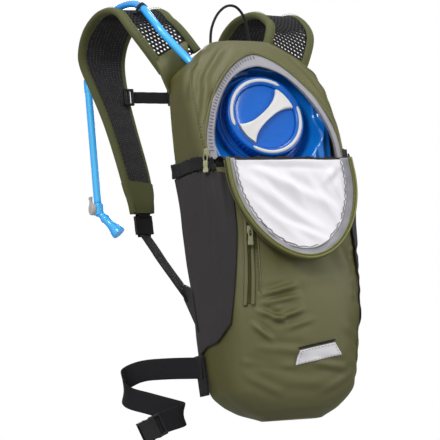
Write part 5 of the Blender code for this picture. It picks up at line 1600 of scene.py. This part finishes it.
def make_pad(name, size, centre, channels, cad):
    """Foam pad under air mesh: blown up as cloth between held channels, then sewn along them."""
    width, depth, tall = size
    corner = 0.014
    outline = []
    for x, z, start in ((1, 1, 0), (-1, 1, 90), (-1, -1, 180), (1, -1, 270)):
        for step in range(7):
            angle = radians(start + step * 15)
            outline.append((x * (width / 2 - corner) + corner * cos(angle),
                            z * (tall / 2 - corner) + corner * sin(angle)))
    layers = ((0.90, 0.0), (1.0, 0.0008), (1.0, depth * 0.45), (0.95, depth * 0.62), (0.88, depth * 0.70))
    bottom = centre.y - depth / 2
    verts = [(centre.x + x * k, bottom + y, centre.z + z * k) for k, y in layers for x, z in outline]
    count = len(outline)
    faces = [(r * count + j, r * count + (j + 1) % count, (r + 1) * count + (j + 1) % count, (r + 1) * count + j)
             for r in range(len(layers) - 1) for j in range(count)]
    faces += [tuple(range(count))[::-1], tuple(range((len(layers) - 1) * count, len(layers) * count))]
    pad = add_piece(name, verts, faces, "black_mesh", "pack", cad)
    fix_normals(pad)
    modify(pad, "REMESH", mode="VOXEL", voxel_size=0.0035)
    apply_modifiers(pad)
    rest = np.array([tuple(v.co) for v in pad.data.vertices]) - SHIFT
    held = pad.vertex_groups.new(name="held")
    for index, (x, y, z) in enumerate(rest):
        on_channel = any(abs((x if way == "x" else z) - at) < 0.0026 for way, at in channels)
        if y < bottom + depth * 0.35 or on_channel:
            held.add([index], 1.0, "REPLACE")
    cloth = pad.modifiers.new("cloth", "CLOTH")
    cloth.settings.quality = 5
    cloth.settings.mass = 0.15
    cloth.settings.tension_stiffness = 8
    cloth.settings.compression_stiffness = 8
    cloth.settings.bending_stiffness = 0.4
    cloth.settings.use_pressure = True
    cloth.settings.uniform_pressure_force = PAD_PRESSURE
    cloth.settings.vertex_group_mass = "held"
    cloth.settings.effector_weights.gravity = 0
    cloth.collision_settings.use_collision = False
    cloth.point_cache.frame_start, cloth.point_cache.frame_end = 1, PAD_STEPS
    scene = bpy.context.scene
    for step in range(1, PAD_STEPS + 1):
        scene.frame_set(step)
    apply_modifiers(pad)
    scene.frame_set(1)
    moved = np.array([tuple(v.co) for v in pad.data.vertices]) - SHIFT
    shift = moved - rest
    size_of = np.linalg.norm(shift, axis=1, keepdims=True)
    shift *= np.minimum(1, PAD_LIMIT / np.maximum(size_of, 1e-9))
    moved = rest + shift
    moved[:, 1] = np.minimum(moved[:, 1], centre.y + depth / 2)
    pad.data.vertices.foreach_set("co", (moved + SHIFT).astype(np.float32).ravel())
    modify(pad, "SUBSURF", levels=1, render_levels=1)
    apply_modifiers(pad)
    data = pad.data
    layer = data.uv_layers.new(name="metres")
    for loop in data.loops:
        co = data.vertices[loop.vertex_index].co
        layer.data[loop.index].uv = (co.x, co.z)
    data.shade_smooth()
    line = [(centre.x + x, bottom + depth * 0.30, centre.z + z) for x, z in outline]
    tube(name + "_piping", line, 0.0011, "olive_binding", "pack", sides=8, closed=True)
    for number, (way, at) in enumerate(channels):
        reach = (tall if way == "x" else width) / 2 - 0.006
        mid = centre.z if way == "x" else centre.x
        steps = np.linspace(mid - reach, mid + reach, 30)
        height = bottom + depth * 0.70
        row = [Vector((at, height, s)) if way == "x" else Vector((s, height, at)) for s in steps]
        stitches("%s_seam_%d" % (name, number), row, lambda s: (0, 1, 0), "olive_binding", "pack")


def make_back():
    u = np.linspace(0, 1, 90)[:, None]
    v = np.linspace(0, 1, 160)[None, :]
    height = 0.050 + 0.365 * v + 0 * u
    reach = half_width(height) - 0.020
    swell = (0.0004 * np.sin(height * 240) * np.sin(u * 60)
             + 0.0012 * np.sin(pi * u) ** 0.5 * np.sin(pi * v) ** 0.5)
    points = np.stack((-reach * (2 * u - 1), 0.0020 + swell, height), -1)
    sheet("air_mesh_back", points, "black_mesh", "pack", "back_mesh", thick=0.0012, offset=0.0)
    border = np.concatenate((points[:, 0], points[-1], points[::-1, -1], points[0, ::-1]))
    line = even_path([Vector(p) for p in border], 300)
    tube("back_piping", line[:-1], 0.0016, "olive_binding", "pack", sides=10, closed=True)
    low, high = (Vector(p) - Vector(SHIFT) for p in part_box("lumbar_pad"))
    make_pad("lumbar_cushion", tuple(high - low), (low + high) / 2,
             [("z", 0.140 - 0.026), ("z", 0.140), ("z", 0.140 + 0.026)], "lumbar_pad")
    for side in ("left", "right"):
        low, high = (Vector(p) - Vector(SHIFT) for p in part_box("shoulder_pad_" + side))
        middle = (low + high) / 2
        make_pad("shoulder_cushion_" + side, tuple(high - low), middle,
                 [("z", middle.z - 0.030), ("z", middle.z), ("z", middle.z + 0.030)], "shoulder_pad_" + side)


# ---------------------------------------------------------------- studio
CAMERA_TARGET = Vector((0, -0.072, 0.080))
CAMERA_AZIMUTH = radians(-28)
CAMERA_ELEVATION = radians(-8.4)
CAMERA_ROLL = radians(5.5)
CAMERA_DISTANCE = 2.2
CAMERA_LENS = 153.9
AIM_LEFT, AIM_UP = 0.0585, 0.0140
FLOOR_HEIGHT = -0.45
SKY_LIGHT = (0.14, 0.80)


def make_camera():
    """Looks up slightly at the pack from the front left; the pack stands right of the middle."""
    back = Vector((sin(CAMERA_AZIMUTH) * cos(CAMERA_ELEVATION), -cos(CAMERA_AZIMUTH) * cos(CAMERA_ELEVATION),
                   sin(CAMERA_ELEVATION)))
    right = Vector((cos(CAMERA_AZIMUTH), sin(CAMERA_AZIMUTH), 0))
    up = back.cross(right)
    right, up = (right * cos(CAMERA_ROLL) - up * sin(CAMERA_ROLL),
                 up * cos(CAMERA_ROLL) + right * sin(CAMERA_ROLL))
    place = CAMERA_TARGET + back * CAMERA_DISTANCE
    aim = CAMERA_TARGET - right * AIM_LEFT + up * AIM_UP
    axis_z = (place - aim).normalized()
    axis_x = (right - axis_z * right.dot(axis_z)).normalized()
    axis_y = axis_z.cross(axis_x)
    data = bpy.data.cameras.new("camera")
    data.lens = CAMERA_LENS
    data.sensor_width = 36
    data.clip_end = 60
    camera = bpy.data.objects.new("camera", data)
    bpy.context.scene.collection.objects.link(camera)
    camera.matrix_world = Matrix.Translation(place) @ Matrix((axis_x, axis_y, axis_z)).transposed().to_4x4()
    bpy.context.scene.camera = camera


def area_light(name, place, target, size, power):
    data = bpy.data.lights.new(name, "AREA")
    data.shape = "RECTANGLE"
    data.size, data.size_y = size
    data.energy = power
    light = bpy.data.objects.new(name, data)
    bpy.context.scene.collection.objects.link(light)
    light.location = place
    light.rotation_euler = (Vector(target) - Vector(place)).to_track_quat("-Z", "Y").to_euler()


def make_studio():
    scene = bpy.context.scene
    scene.view_settings.view_transform = "Standard"
    world = bpy.data.worlds.new("studio")
    world.use_nodes = True
    background = world.node_tree.nodes["Background"]
    background.inputs["Color"].default_value = (1, 1, 1, 1)
    nodes, links = world.node_tree.nodes, world.node_tree.links
    seen, level = nodes.new("ShaderNodeLightPath"), nodes.new("ShaderNodeMapRange")
    place, split, sky = (nodes.new("ShaderNode" + kind) for kind in ("TexCoord", "SeparateXYZ", "MapRange"))
    sky.inputs["From Min"].default_value = -0.4
    sky.inputs["To Min"].default_value, sky.inputs["To Max"].default_value = SKY_LIGHT
    links.new(place.outputs["Generated"], split.inputs["Vector"])
    links.new(split.outputs["Z"], sky.inputs["Value"])
    links.new(sky.outputs["Result"], level.inputs["To Min"])
    links.new(seen.outputs["Is Camera Ray"], level.inputs["Value"])
    links.new(level.outputs["Result"], background.inputs["Strength"])
    scene.world = world
    bpy.ops.mesh.primitive_circle_add(vertices=96, radius=8, fill_type="NGON", location=(0, 0, FLOOR_HEIGHT))
    floor = bpy.context.object
    floor.name = "studio_floor"
    floor.data.materials.append(MATERIALS["studio_floor"])
    middle = (0, -0.05, 0.08)
    area_light("key", (-1.7, -1.5, 1.3), middle, (0.7, 0.7), 24)
    area_light("rim", (1.5, -1.3, 0.5), middle, (0.25, 1.6), 12)
    area_light("top", (0.2, -0.3, 2.2), middle, (0.8, 0.8), 14)
    area_light("back", (0.9, 2.0, 0.9), middle, (1.2, 1.2), 26)


def paint_cad():
    """Node materials for the CAD nodes that stay shown."""
    for node in NODES.values():
        for slot in node.material_slots:
            name = slot.material.name.split(".")[0]
            if name in MATERIALS:
                slot.material = MATERIALS[name]


# ---------------------------------------------------------------- assembly
make_materials()
make_shell()
make_seams()
make_rim()
make_flap()
for SIDE, SIGN in SIDES:
    make_side_pocket(SIDE, SIGN)
    make_strap(SIDE, SIGN)
    make_yoke(SIDE, SIGN)
    make_ladder_lock(SIDE, SIGN)
    make_adjust_web(SIDE, SIGN)
make_front_pocket()
make_reservoir()
make_port()
make_sleeve()
make_opening_hem()
make_hanger()
make_hose()
make_valve()
make_sternum()
make_belt()
make_zip_parts()
make_back()
paint_cad()
make_studio()
make_camera()
